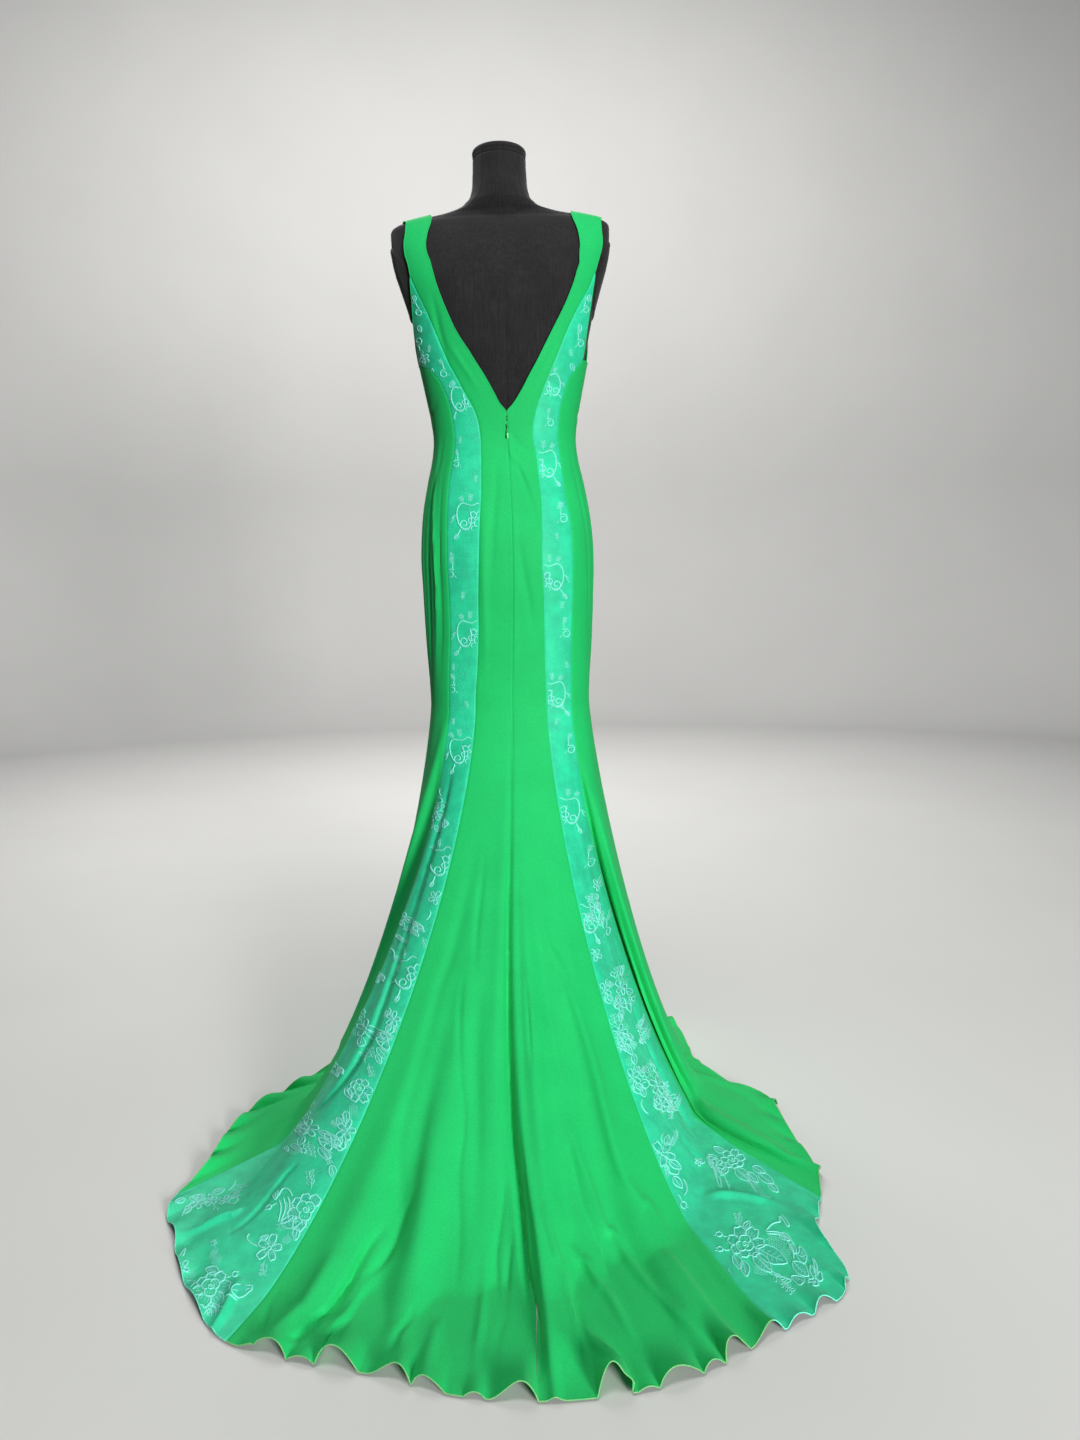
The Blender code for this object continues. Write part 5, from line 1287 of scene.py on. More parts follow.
class LaceMap:
    """A lace panel in metres across from its middle line and down from its top."""

    def __init__(self, side):
        self.side = side
        self.stations = np.concatenate([
            np.linspace(LACE_TOP, KNEE, 240, endpoint=False),
            np.linspace(KNEE, 0.0, 400),
            -np.linspace(0.0, 1.0, 120)[1:],
        ])
        full = np.ones(len(self.stations))
        middle = cloth_point(self.stations, 1.5 * side * full)
        self.down = lengths_along(middle)
        inner = cloth_point(self.stations, 1.001 * side * full)
        outer = cloth_point(self.stations, 1.999 * side * full)
        self.width = np.linalg.norm(inner - outer, axis=1)

    def metres(self, station, share):
        down = np.interp(-station, -self.stations, self.down)
        return np.array([(share - 0.5) * np.interp(down, self.down, self.width), down])

    def place(self, spots):
        """Station and place round the dress of spots on the panel, and how far inside its seams."""
        station = np.interp(spots[:, 1], self.down, self.stations)
        width = np.interp(spots[:, 1], self.down, self.width)
        inside = width / 2.0 - np.abs(spots[:, 0])
        share = np.clip(0.5 + spots[:, 0] / width, -0.4, 1.4)
        below = self.down[-1] - spots[:, 1]
        return station, self.side * (1.0 + share), np.minimum(inside, below)

    def point(self, spots):
        station, around, _ = self.place(spots)
        return cloth_point(station, around)

    def slopes(self, spots, here):
        """Steps of the cloth for a metre across and a metre down."""
        return [(self.point(spots + step) - here) / LAY_STEP for step in LAY_STEP * np.eye(2)]

    def lay(self, centres, drawn):
        """Spots of drawn points, in metres from their motifs' centres, level and upright from behind.

        Where the cloth turns away from the onlooker a motif is drawn out, by LAY_STRETCH at most.
        """
        start = self.point(centres)
        across, down = self.slopes(centres, start)
        normal = unit(np.cross(across, down) * self.side)
        sight = unit(start - np.array(CAMERA_PLACE))
        level = unit(np.cross(sight, np.array([0.0, 0.0, -1.0]))) * self.side
        fall = np.cross(sight, level) * self.side
        fall = fall * -np.sign(fall[:, 2:3])
        facing = np.minimum(np.sum(sight * normal, axis=1, keepdims=True), -LAY_LEAST_FACING)
        target = start
        for k, (way, most) in enumerate(zip((level, fall), LAY_STRETCH)):
            axis = way - sight * np.sum(way * normal, axis=1, keepdims=True) / facing
            size = np.linalg.norm(axis, axis=1, keepdims=True)
            target = target + axis * np.minimum(1.0, most / size) * drawn[:, k:k + 1]
        spots = centres + drawn
        for _ in range(LAY_ROUNDS):
            here = self.point(spots)
            u, v = self.slopes(spots, here)
            gap = target - here
            rows = [[np.sum(step * way, axis=1) for step in (u, v)] for way in (across, down)]
            ends = [np.sum(gap * way, axis=1) for way in (across, down)]
            size = rows[0][0] * rows[1][1] - rows[0][1] * rows[1][0]
            size = np.where(np.abs(size) < 0.05, np.inf, size)
            moved = np.stack([
                (ends[0] * rows[1][1] - ends[1] * rows[0][1]) / size,
                (ends[1] * rows[0][0] - ends[0] * rows[1][0]) / size,
            ], axis=1)
            spots = spots + np.clip(moved, -LAY_MOST, LAY_MOST)
        return spots


LAY_STEP = 0.0008
LAY_STRETCH = (2.0, 1.55)
LAY_LEAST_FACING = 0.2
LAY_ROUNDS = 4
LAY_MOST = 0.02
CORD_CORE = 0.22
CORD_GROWTH = 0.60
CORD_SPACING = 0.0021
CORD_MARGIN = 0.0016
CORD_TURNS = np.radians(np.array([-25.0, 35.0, 90.0, 145.0, 205.0]))
CORD_LIFT = 0.0003
CORD_TIP = 0.45           # share of its radius that a cord has at its ends
CORD_SWELL = 0.35         # what it gains with each point from there
CORD_ROUND = 0.004        # way round a cord in its texture map
FILL_SPACING = 0.0026
FILL_LIFT = 0.00045
FILL_RINGS = (1.0, 0.72, 0.36)
FILL_RISES = (0.3, 1.0, 1.2)


def resampled(points, spacing):
    length = lengths_along(points)
    count = max(3, round(length[-1] / spacing) + 1)
    marks = np.linspace(0.0, length[-1], count)
    return np.stack([np.interp(marks, length, points[:, k]) for k in range(2)], axis=1)


def surface_frame(station, around):
    """Point and outward normal of the finished cloth."""
    point = dressed_point(station, around)
    middle = np.floor(around) + 0.5
    inward = np.where(around < middle, 1.0, -1.0)
    across = (dressed_point(station, around + 0.01 * inward) - point) * inward[:, None]
    below = dressed_point(np.maximum(station - 0.003, -1.0), around)
    above = dressed_point(station + 0.003, around)
    return point, unit(np.cross(across, below - above))


def motifs_of(side):
    """The panel's map and its cords and fills, laid on it."""
    lace = LaceMap(side)
    lines, centres, kinds = [], [], []
    for kind, station, share, degrees, size in LEFT_MOTIFS if side > 0 else RIGHT_MOTIFS:
        centre = lace.metres(station, share)
        drawn = bouquet(kind) if kind in BOUQUETS else MOTIFS[kind]()
        for points, radius in drawn.cords:
            if len(points) < 9:
                points = smooth_line(points, 6)
            lines.append(resampled(turned(points, degrees, size=size / 1000.0), CORD_SPACING))
            kinds.append(("cord", (CORD_CORE + CORD_GROWTH * radius) / 1000.0))
            centres.append(np.tile(centre, (len(lines[-1]), 1)))
        for outline, heading in drawn.fills:
            closed = np.vstack([outline, outline[:1]])
            lines.append(resampled(turned(closed, degrees, size=size / 1000.0), FILL_SPACING)[:-1])
            kinds.append(("fill", heading + degrees))
            centres.append(np.tile(centre, (len(lines[-1]), 1)))
    spots = lace.lay(np.vstack(centres), np.vstack(lines))
    parts = np.split(spots, np.cumsum([len(line) for line in lines])[:-1])
    cords = [(part, value) for part, (kind, value) in zip(parts, kinds) if kind == "cord"]
    fills = [(part, value) for part, (kind, value) in zip(parts, kinds) if kind == "fill"]
    return lace, cords, fills


def clipped(line, inside):
    """Runs of a line's points that lie inside the panel."""
    runs, run = [], []
    for k, good in enumerate(inside):
        if good:
            run.append(k)
        elif run:
            runs.append(run)
            run = []
    if run:
        runs.append(run)
    return [np.array(run) for run in runs if len(run) > 2]


def cords_object(name, side):
    """All the raised cords of a lace panel as one mesh of small half-round tubes."""
    lace, cords, fills = motifs_of(side)
    runs, lines, radii = [], [], []
    for line, radius in cords:
        inside = lace.place(line)[2] > CORD_MARGIN
        for run in clipped(line, inside):
            runs.append(len(run))
            lines.append(line[run])
            radii.append(np.full(len(run), radius))
    station, around, _ = lace.place(np.vstack(lines))
    point, normal = surface_frame(station, around)
    point = point + normal * CORD_LIFT
    radius = np.concatenate(radii)
    points, faces, uv, first = [], [], [], 0
    sides = len(CORD_TURNS)
    start = 0
    for count in runs:
        here = slice(start, start + count)
        start += count
        line = point[here]
        way = unit(np.gradient(line, axis=0))
        up = unit(normal[here] - way * np.sum(normal[here] * way, axis=1, keepdims=True))
        across = np.cross(way, up)
        from_end = np.minimum(np.arange(count), np.arange(count)[::-1])
        thick = radius[here] * np.minimum(1.0, CORD_TIP + CORD_SWELL * from_end)
        ring = ring_offsets(across, up, CORD_TURNS)
        points.append((line[:, None, :] + ring * thick[:, None, None]).reshape(-1, 3))
        along = lengths_along(line)
        about = np.tile(np.arange(sides) / sides, count) * CORD_ROUND
        uv.append(np.stack([about, np.repeat(along, sides)], axis=1))
        faces += [tuple(k + first for k in face) for face in tube_faces(count, sides)]
        first += count * sides
    return mesh_object(name, np.vstack(points), faces, np.vstack(uv), 80.0)


def fills_object(name, side):
    """The thread-filled petals and leaves of a lace panel, as low closed pads."""
    lace, cords, fills = motifs_of(side)
    pads, outlines, headings = [], [], []
    for outline, heading in fills:
        centre = outline.mean(axis=0)
        pad = np.vstack([centre + (outline - centre) * share for share in FILL_RINGS] + [centre[None]])
        if (lace.place(pad)[2] > CORD_MARGIN).all():
            pads.append(pad)
            outlines.append(len(outline))
            headings.append(heading)
    every = np.vstack(pads)
    station, around, _ = lace.place(every)
    point, normal = surface_frame(station, around)
    points, faces, uv, start, first = [], [], [], 0, 0
    for pad, count, heading in zip(pads, outlines, headings):
        here = slice(start, start + len(pad))
        start += len(pad)
        lift = np.append(np.repeat(FILL_RISES, count), FILL_RISES[-1]) * FILL_LIFT
        top = point[here] + normal[here] * lift[:, None]
        under = point[here][:count] - normal[here][:count] * FILL_LIFT
        points += [top, under]
        local = turned(pad - pad[-1], heading)
        uv += [local, local[:count]]
        base = len(top)
        x, y = pad[:count].T
        signed = float(np.sum(x * np.roll(y, -1) - np.roll(x, -1) * y))
        flip = signed * side > 0.0
        own = []
        for k in range(count):
            n = (k + 1) % count
            own += [(k, n, count + n, count + k), (count + k, count + n, 2 * count + n, 2 * count + k)]
            own += [(2 * count + k, 2 * count + n, 3 * count), (n, k, base + k, base + n)]
        own.append(tuple(base + k for k in reversed(range(count))))
        faces += [tuple(first + k for k in (face if flip else face[::-1])) for face in own]
        first += base + count
    return mesh_object(name, np.vstack(points), faces, np.vstack(uv), 60.0)


# Finishes


def linear(colour):
    """Linear colour of an sRGB hex value."""
    values = [int(colour[k:k + 2], 16) / 255.0 for k in (1, 3, 5)]
    return tuple(v / 12.92 if v <= 0.04045 else ((v + 0.055) / 1.055) ** 2.4 for v in values)


def add_node(tree, kind, links=(), **settings):
    """Add a node; settings are its own values or its inputs', and links feed its inputs.

    A link is a socket, or a plain value for the input that its key names or counts.
    """
    node = tree.nodes.new("ShaderNode" + kind)
    for name, value in settings.items():
        if hasattr(node, name):
            setattr(node, name, value)
        else:
            node.inputs[name.replace("_", " ").title()].default_value = value
    for key, value in dict(links).items():
        if isinstance(value, bpy.types.NodeSocket):
            tree.links.new(value, node.inputs[key])
        else:
            node.inputs[key].default_value = value
    return node


def new_material(name, roughness, **values):
    """A material whose shader has the given constants, such as sheen_weight or ior."""
    material = bpy.data.materials.new(name)
    material.use_nodes = True
    shader = material.node_tree.nodes["Principled BSDF"]
    shader.inputs["Roughness"].default_value = roughness
    for key, value in values.items():
        socket = key.replace("_", " ").title().replace("Ior", "IOR")
        shader.inputs[socket].default_value = value
    return material, material.node_tree, shader


def finish_shader(tree, shader, tone, bumps=()):
    """Feed the shader its colour, and its normal through bumps of (height, depth in metres, strength)."""
    tree.links.new(tone, shader.inputs["Base Color"])
    below = {}
    for height, depth, strength in bumps:
        bump = add_node(tree, "Bump", {"Height": height, **below}, distance=depth, strength=strength)
        below = {"Normal": bump.outputs["Normal"]}
    for key, socket in below.items():
        tree.links.new(socket, shader.inputs[key])


def per_metre(millimetres):
    """Texture scale that makes one cell this many millimetres wide."""
    return 1.0 / (millimetres * MILLIMETRE)


def wave_scale(millimetres, directions=1.0):
    """Scale of a wave texture with bands this far apart; diagonal bands count half of each way."""
    return 2.0 * math.pi * per_metre(millimetres) / (20.0 if directions == 1.0 else 10.0)


def shades(colour, darker, lighter):
    """A colour's darker and lighter neighbours, with full alpha."""
    return (*(c * darker for c in colour), 1.0), (*(min(1.0, c * lighter) for c in colour), 1.0)


MILLIMETRE = 0.001


def crepe_material(colour):
    """Polyester crepe, woven from twisted yarn: matt, with a pebbled face and a faint bloom."""
    material, tree, shader = new_material(
        "green_polyester_crepe", 0.74, sheen_weight=0.11, sheen_roughness=0.45, specular_ior_level=0.24)
    shader.inputs["Sheen Tint"].default_value = (*linear("#B8FFC8"), 1.0)
    place = add_node(tree, "TexCoord").outputs["Object"]
    cloud = add_node(tree, "TexNoise", {"Vector": place}, scale=per_metre(70.0), detail=3.0)
    pebble = add_node(tree, "TexNoise", {"Vector": place}, scale=per_metre(1.1), detail=2.0)
    yarn = add_node(tree, "TexNoise", {"Vector": place}, scale=per_metre(2.6), detail=4.0, roughness=0.7)
    darker, lighter = shades(colour, 0.94, 1.05)
    share = add_node(tree, "MapRange", {"Value": cloud.outputs["Fac"]}, from_min=0.25, from_max=0.75)
    tone = add_node(tree, "Mix", {0: share.outputs["Result"], 6: darker, 7: lighter}, data_type="RGBA")
    flecks = add_node(tree, "MapRange", {"Value": yarn.outputs["Fac"]},
                      from_min=0.35, from_max=0.68, to_min=0.90, to_max=1.05)
    tone = add_node(tree, "Mix", {0: 1.0, 6: tone.outputs[2], 7: flecks.outputs["Result"]},
                    data_type="RGBA", blend_type="MULTIPLY")
    finish_shader(tree, shader, tone.outputs[2], [
        (pebble.outputs["Fac"], 0.00022, 0.55),
        (yarn.outputs["Fac"], 0.0004, 0.35),
    ])
    return material


def lace_material(colour, net_colour):
    """Corded lace's net, laid on satin: smooth and faintly clouded, under a fine mesh with spots."""
    material, tree, shader = new_material(
        "turquoise_net_on_satin", 0.50, sheen_weight=0.05, sheen_roughness=0.4, specular_ior_level=0.34)
    coords = add_node(tree, "TexCoord")
    flat, place = coords.outputs["UV"], coords.outputs["Object"]
    thread = (*net_colour, 1.0)
    cloud = add_node(tree, "TexNoise", {"Vector": place}, scale=per_metre(30.0), detail=5.0,
                     roughness=0.62)
    darker, lighter = shades(colour, 0.80, 1.12)
    share = add_node(tree, "MapRange", {"Value": cloud.outputs["Fac"]}, from_min=0.34, from_max=0.66)
    tone = add_node(tree, "Mix", {0: share.outputs["Result"], 6: darker, 7: lighter}, data_type="RGBA")
    net = add_node(tree, "TexVoronoi", {"Vector": flat}, feature="DISTANCE_TO_EDGE", scale=per_metre(2.4),
                   voronoi_dimensions="2D", randomness=0.35)
    lines = add_node(tree, "MapRange", {"Value": net.outputs["Distance"]},
                     from_min=0.05, from_max=0.16, to_min=1.0, to_max=0.0)
    share = add_node(tree, "MapRange", {"Value": lines.outputs["Result"]}, to_max=0.34)
    tone = add_node(tree, "Mix", {0: share.outputs["Result"], 6: tone.outputs[2], 7: thread},
                    data_type="RGBA")
    warp = add_node(tree, "TexNoise", {"Vector": flat}, scale=per_metre(7.0), detail=2.0)
    shift = add_node(tree, "VectorMath", {0: warp.outputs["Color"]}, operation="SCALE", scale=0.006)
    moved = add_node(tree, "VectorMath", {0: flat, 1: shift.outputs["Vector"]}, operation="ADD")
    squiggle = add_node(tree, "TexVoronoi", {"Vector": moved.outputs["Vector"]},
                        feature="DISTANCE_TO_EDGE", scale=per_metre(5.2),
                        voronoi_dimensions="2D", randomness=1.0)
    curls = add_node(tree, "MapRange", {"Value": squiggle.outputs["Distance"]},
                     from_min=0.02, from_max=0.10, to_min=1.0, to_max=0.0)
    patch = add_node(tree, "TexNoise", {"Vector": place}, scale=per_metre(26.0), detail=2.0)
    where = add_node(tree, "MapRange", {"Value": patch.outputs["Fac"]}, from_min=0.50, from_max=0.60)
    drawn = add_node(tree, "Math", {0: curls.outputs["Result"], 1: where.outputs["Result"]},
                     operation="MULTIPLY")
    share = add_node(tree, "MapRange", {"Value": drawn.outputs["Value"]}, to_max=0.42)
    tone = add_node(tree, "Mix", {0: share.outputs["Result"], 6: tone.outputs[2], 7: thread},
                    data_type="RGBA")
    finish_shader(tree, shader, tone.outputs[2], [
        (lines.outputs["Result"], 0.00025, 0.6),
        (drawn.outputs["Value"], 0.0005, 0.6),
    ])
    return material


def cord_material(colour):
    """Viscose cord, twisted from two yarns and a little glossy, with painted highlight on its crests and
    painted shade in its grooves.
    """
    material, tree, shader = new_material(
        "aqua_viscose_cord", 0.42, sheen_weight=0.2, specular_ior_level=0.5)
    flat = add_node(tree, "TexCoord").outputs["UV"]
    twist = add_node(tree, "TexWave", {"Vector": flat}, wave_type="BANDS", bands_direction="DIAGONAL",
                     scale=wave_scale(3.2, 2.0), distortion=0.6, detail=1.0)
    # The twist's bands carry painted shade in the grooves between the yarns and painted highlight on the
    # crests
    darker, lighter = shades(colour, 0.72, 1.05)
    tone = add_node(tree, "Mix", {0: twist.outputs["Fac"], 6: darker, 7: lighter}, data_type="RGBA")
    finish_shader(tree, shader, tone.outputs[2], [(twist.outputs["Fac"], 0.0003, 0.6)])
    return material


def satin_stitch_material(colour):
    """Satin-stitch filling: close parallel threads over the net's ground, with painted shade beside the
    cords and deeper painted shade between the threads.
    """
    material, tree, shader = new_material("aqua_satin_stitch", 0.48, specular_ior_level=0.45)
    flat = add_node(tree, "TexCoord").outputs["UV"]
    threads = add_node(tree, "TexWave", {"Vector": flat}, wave_type="BANDS", bands_direction="Y",
                       scale=wave_scale(1.9), distortion=1.2, detail=1.0, detail_scale=2.0)
    # The darker shade is the net's ground between the threads with painted shade laid over it; the
    # lighter one is the threads
    darker, lighter = shades(colour, 0.60, 1.35)
    share = add_node(tree, "MapRange", {"Value": threads.outputs["Fac"]}, from_min=0.25, from_max=0.70)
    tone = add_node(tree, "Mix", {0: share.outputs["Result"], 6: darker, 7: lighter}, data_type="RGBA")
    finish_shader(tree, shader, tone.outputs[2], [(threads.outputs["Fac"], 0.0003, 0.7)])
    return material


def hem_material(name, colour, thread):
    """Overlocked rolled hem: pale thread wound over the turned edge."""
    material, tree, shader = new_material(name, 0.6, sheen_weight=0.2)
    place = add_node(tree, "TexCoord").outputs["Object"]
    wound = add_node(tree, "TexNoise", {"Vector": place}, scale=per_metre(1.6), detail=1.0)
    share = add_node(tree, "MapRange", {"Value": wound.outputs["Fac"]}, from_min=0.38, from_max=0.60)
    tone = add_node(tree, "Mix", {0: share.outputs["Result"], 6: (*colour, 1.0), 7: (*thread, 1.0)},
                    data_type="RGBA")
    finish_shader(tree, shader, tone.outputs[2], [(wound.outputs["Fac"], 0.0004, 0.7)])
    return material


def cover_material(colour):
    """Cotton cover of the dress form: plain-woven charcoal cloth with slubs, matt and dusty."""
    material, tree, shader = new_material(
        "charcoal_woven_cotton", 0.88, sheen_weight=0.16, sheen_roughness=0.5, specular_ior_level=0.25)
    place = add_node(tree, "TexCoord").outputs["Object"]
    long = add_node(tree, "Mapping", {"Vector": place, "Scale": (1.0, 1.0, 0.06)})
    slubs = add_node(tree, "TexNoise", {"Vector": long.outputs["Vector"]}, scale=per_metre(2.2),
                     detail=3.0)
    weft = add_node(tree, "Mapping", {"Vector": place, "Scale": (0.10, 0.10, 1.0)})
    weave = add_node(tree, "TexNoise", {"Vector": weft.outputs["Vector"]}, scale=per_metre(1.6),
                     detail=3.0)
    cloud = add_node(tree, "TexNoise", {"Vector": place}, scale=per_metre(60.0), detail=4.0)
    darker, lighter = shades(colour, 0.72, 1.35)
    share = add_node(tree, "MapRange", {"Value": slubs.outputs["Fac"]}, from_min=0.36, from_max=0.66)
    tone = add_node(tree, "Mix", {0: share.outputs["Result"], 6: darker, 7: lighter}, data_type="RGBA")
    wefts = add_node(tree, "MapRange", {"Value": weave.outputs["Fac"]},
                     from_min=0.35, from_max=0.68, to_min=0.82, to_max=1.10)
    dust = add_node(tree, "MapRange", {"Value": cloud.outputs["Fac"]},
                    from_min=0.40, from_max=0.70, to_min=0.86, to_max=1.22)
    for shade in (wefts, dust):
        tone = add_node(tree, "Mix", {0: 1.0, 6: tone.outputs[2], 7: shade.outputs["Result"]},
                        data_type="RGBA", blend_type="MULTIPLY")
    finish_shader(tree, shader, tone.outputs[2], [
        (slubs.outputs["Fac"], 0.0003, 0.5),
        (weave.outputs["Fac"], 0.0003, 0.5),
    ])
    return material


def painted_metal(name, colour, roughness, metallic, grain_mm):
    """Painted metal with a fine orange-peel skin and a little wear in its tone."""
    material, tree, shader = new_material(name, roughness, metallic=metallic)
    place = add_node(tree, "TexCoord").outputs["Object"]
    grain = add_node(tree, "TexNoise", {"Vector": place}, scale=per_metre(grain_mm), detail=3.0)
    darker, lighter = shades(colour, 0.85, 1.20)
    share = add_node(tree, "MapRange", {"Value": grain.outputs["Fac"]}, from_min=0.3, from_max=0.7)
    tone = add_node(tree, "Mix", {0: share.outputs["Result"], 6: darker, 7: lighter}, data_type="RGBA")
    finish_shader(tree, shader, tone.outputs[2], [(grain.outputs["Fac"], 0.0001, 0.4)])
    return material


def floor_material(colour):
    """Painted studio floor: pale, matt and very faintly clouded."""
    material, tree, shader = new_material("pale_studio_paint", 0.85, specular_ior_level=0.2)
    place = add_node(tree, "TexCoord").outputs["Object"]
    cloud = add_node(tree, "TexNoise", {"Vector": place}, scale=1.6, detail=3.0)
    darker, lighter = shades(colour, 0.98, 1.01)
    share = add_node(tree, "MapRange", {"Value": cloud.outputs["Fac"]}, from_min=0.3, from_max=0.7)
    tone = add_node(tree, "Mix", {0: share.outputs["Result"], 6: darker, 7: lighter}, data_type="RGBA")
    finish_shader(tree, shader, tone.outputs[2])
    return material


# Fastenings and the form's arm plates

LOOP_TURNS = 28
WIRE_SIDES = 8
WIRE_RADIUS = 0.00055
SLIDER_LAYERS = ((0.80, 0.0), (1.0, 0.12), (1.0, 0.55), (0.90, 0.80), (0.62, 1.0))
TAB_LAYERS = ((0.82, 0.0), (1.0, 0.30), (1.0, 0.70), (0.82, 1.0))
PLATE_MIDDLE = (0.004, 1.405)
PLATE_SIZE = (0.042, 0.062)
PLATE_RINGS = ((1.06, -0.0030), (1.04, 0.0008), (1.0, 0.0022), (0.93, 0.0028), (0.88, 0.0020),
               (0.84, 0.0024), (0.60, 0.0026), (0.30, 0.0027), (0.10, 0.0027))


def layered_plate(name, outline, layers, depth):
    """A small plate: one outline in the XZ plane, narrowed and moved back to front by its layers."""
    outline = np.asarray(outline, dtype=float)
    centre = outline.mean(axis=0)
    points = []
    for share, rise in layers:
        ring = centre + (outline - centre) * share
        points.append(np.stack([ring[:, 0], np.full(len(ring), depth * rise), ring[:, 1]], axis=1))
    return mesh_object(name, np.vstack(points), tube_faces(len(layers), len(outline)), smooth_angle=35.0)


def teardrop(half_width, length, neck, count=36):
    """Outline that hangs down from a narrow neck to a round end, clockwise."""
    share = np.linspace(0.0, 1.0, count)
    width = neck + (half_width - neck) * ease_step(0.15, 0.80, share)
    width = width * np.sqrt(np.clip(1.0 - (np.clip(share - 0.86, 0.0, 1.0) / 0.14) ** 2, 0.0, 1.0))
    right = np.stack([width, -length * share], axis=1)[:-1]
    left = np.stack([-width, -length * share], axis=1)
    return np.vstack([right, left[::-1]])


def wire_object(name, node):
    """A loop of wire, where the hook's or the eye's solid lies."""
    low, high = (np.array(corner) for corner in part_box(node))
    centre, half = (low + high) / 2.0, (high - low) / 2.0
    turns = np.linspace(0.0, 2.0 * math.pi, LOOP_TURNS, endpoint=False)
    across = (half[0] - WIRE_RADIUS) * np.sin(turns)
    up = (half[2] - WIRE_RADIUS) * np.cos(turns)
    line = np.stack([across, np.zeros(LOOP_TURNS), up], axis=1) + centre
    return tube_object(name, [line], WIRE_RADIUS, sides=WIRE_SIDES, closed=True)


def slider_object(name):
    low, high = (np.array(corner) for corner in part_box("zip_slider"))
    size = high - low
    height = np.linspace(0.0, 1.0, 24)
    width = size[0] / 2.0 * (0.62 + 0.38 * ease_step(0.25, 0.85, height))
    past = np.clip(np.abs(height - 0.5) - 0.38, 0.0, 1.0) / 0.13
    width = width * np.sqrt(np.clip(1.0 - past ** 2, 0.05, 1.0))
    right = np.stack([width, size[2] * height], axis=1)
    left = np.stack([-width, size[2] * height], axis=1)[::-1]
    body = layered_plate(name, np.vstack([left, right]), SLIDER_LAYERS, size[1] * 0.86)
    body.location = ((low[0] + high[0]) / 2.0, low[1], low[2])
    return body


def slider_bridge(name):
    """The small arch on the slider that holds the pull tab."""
    low, high = (np.array(corner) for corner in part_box("zip_slider"))
    middle = (low[2] + high[2]) / 2.0
    turns = np.linspace(0.0, math.pi, 13)
    line = np.stack([
        np.full(13, (low[0] + high[0]) / 2.0),
        high[1] - 0.0005 + 0.0008 * np.sin(turns),
        middle + 0.0022 * np.cos(turns) + 0.0006,
    ], axis=1)
    return tube_object(name, [line], 0.0005, sides=WIRE_SIDES)


def pull_object(name):
    low, high = (np.array(corner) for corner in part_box("zip_pull"))
    size = high - low
    outline = teardrop(size[0] / 2.0, size[2], 0.0006)
    tab = layered_plate(name, outline, TAB_LAYERS, size[1])
    tab.location = ((low[0] + high[0]) / 2.0, low[1], high[2])
    return tab


def arm_plate(name, side):
    """The padded disc at the form's shoulder, seen in the armhole."""
    turns = np.linspace(0.0, 2.0 * math.pi, 72, endpoint=False)
    points = []
    for share, rise in PLATE_RINGS:
        y = PLATE_MIDDLE[0] + PLATE_SIZE[0] * share * np.cos(turns)
        height = PLATE_MIDDLE[1] + PLATE_SIZE[1] * share * np.sin(turns)
        half, back, front, square = figure_size(height)
        depth = np.where(y > 0.0, back, front)
        cosine = np.sign(y) * np.clip(np.abs(y) / depth, 0.0, 1.0) ** (square / 2.0)
        points.append(form_point(height, side * np.arccos(cosine), -rise))
    faces = tube_faces(len(PLATE_RINGS), len(turns))
    if side < 0:
        faces = [tuple(reversed(face)) for face in faces]
    return mesh_object(name, np.vstack(points), faces)


# The stage

PHOTO_WIDTH, PHOTO_HEIGHT = 1080, 1440
FOCAL_PIXELS = 1080.0
SENSOR = 36.0
CAMERA_PITCH = 7.0
CAMERA_ROLL = 1.0
AXIS_PIXEL = 510.5        # column of the photograph at which the form's axis stands
ROOM_RADIUS = 4.8
ROOM_CURVE = 1.6
ROOM_CURVE_STEPS = 24
ROOM_HEIGHT = 5.6
ROOM_SIDES = 128
AIM = (0.0, 0.25, 0.72)


def add_camera():
    """The camera stands behind the dress, low and a little to its left, as in the photograph."""
    place = Vector(CAMERA_PLACE)
    level = Vector((-place.x, -place.y, 0.0)).normalized()
    yaw = math.atan((AXIS_PIXEL - PHOTO_WIDTH / 2.0) / FOCAL_PIXELS)
    level = Matrix.Rotation(yaw, 3, "Z") @ level
    side = level.cross(Vector((0.0, 0.0, 1.0)))
    pitch = math.radians(CAMERA_PITCH)
    ahead = level * math.cos(pitch) - Vector((0.0, 0.0, 1.0)) * math.sin(pitch)
    roll = math.radians(CAMERA_ROLL)
    right = side * math.cos(roll) - side.cross(ahead) * math.sin(roll)
    up = right.cross(ahead)
    data = bpy.data.cameras.new("photo_camera")
    data.sensor_fit = "VERTICAL"
    data.sensor_height = SENSOR
    data.lens = FOCAL_PIXELS / PHOTO_HEIGHT * SENSOR
    data.clip_start = 0.05
    camera = bpy.data.objects.new("photo_camera", data)
    turn = Matrix((right, up, -ahead)).transposed()
    camera.matrix_world = Matrix.Translation(place) @ turn.to_4x4()
    bpy.context.scene.collection.objects.link(camera)
    bpy.context.scene.camera = camera


def add_light(name, place, size, power, aim=AIM):
    data = bpy.data.lights.new(name, "AREA")
    data.shape = "SQUARE"
    data.size = size
    data.energy = power
    light = bpy.data.objects.new(name, data)
    light.location = place
    light.visible_camera = False
    light.rotation_euler = (Vector(aim) - Vector(place)).to_track_quat("-Z", "Y").to_euler()
    bpy.context.scene.collection.objects.link(light)


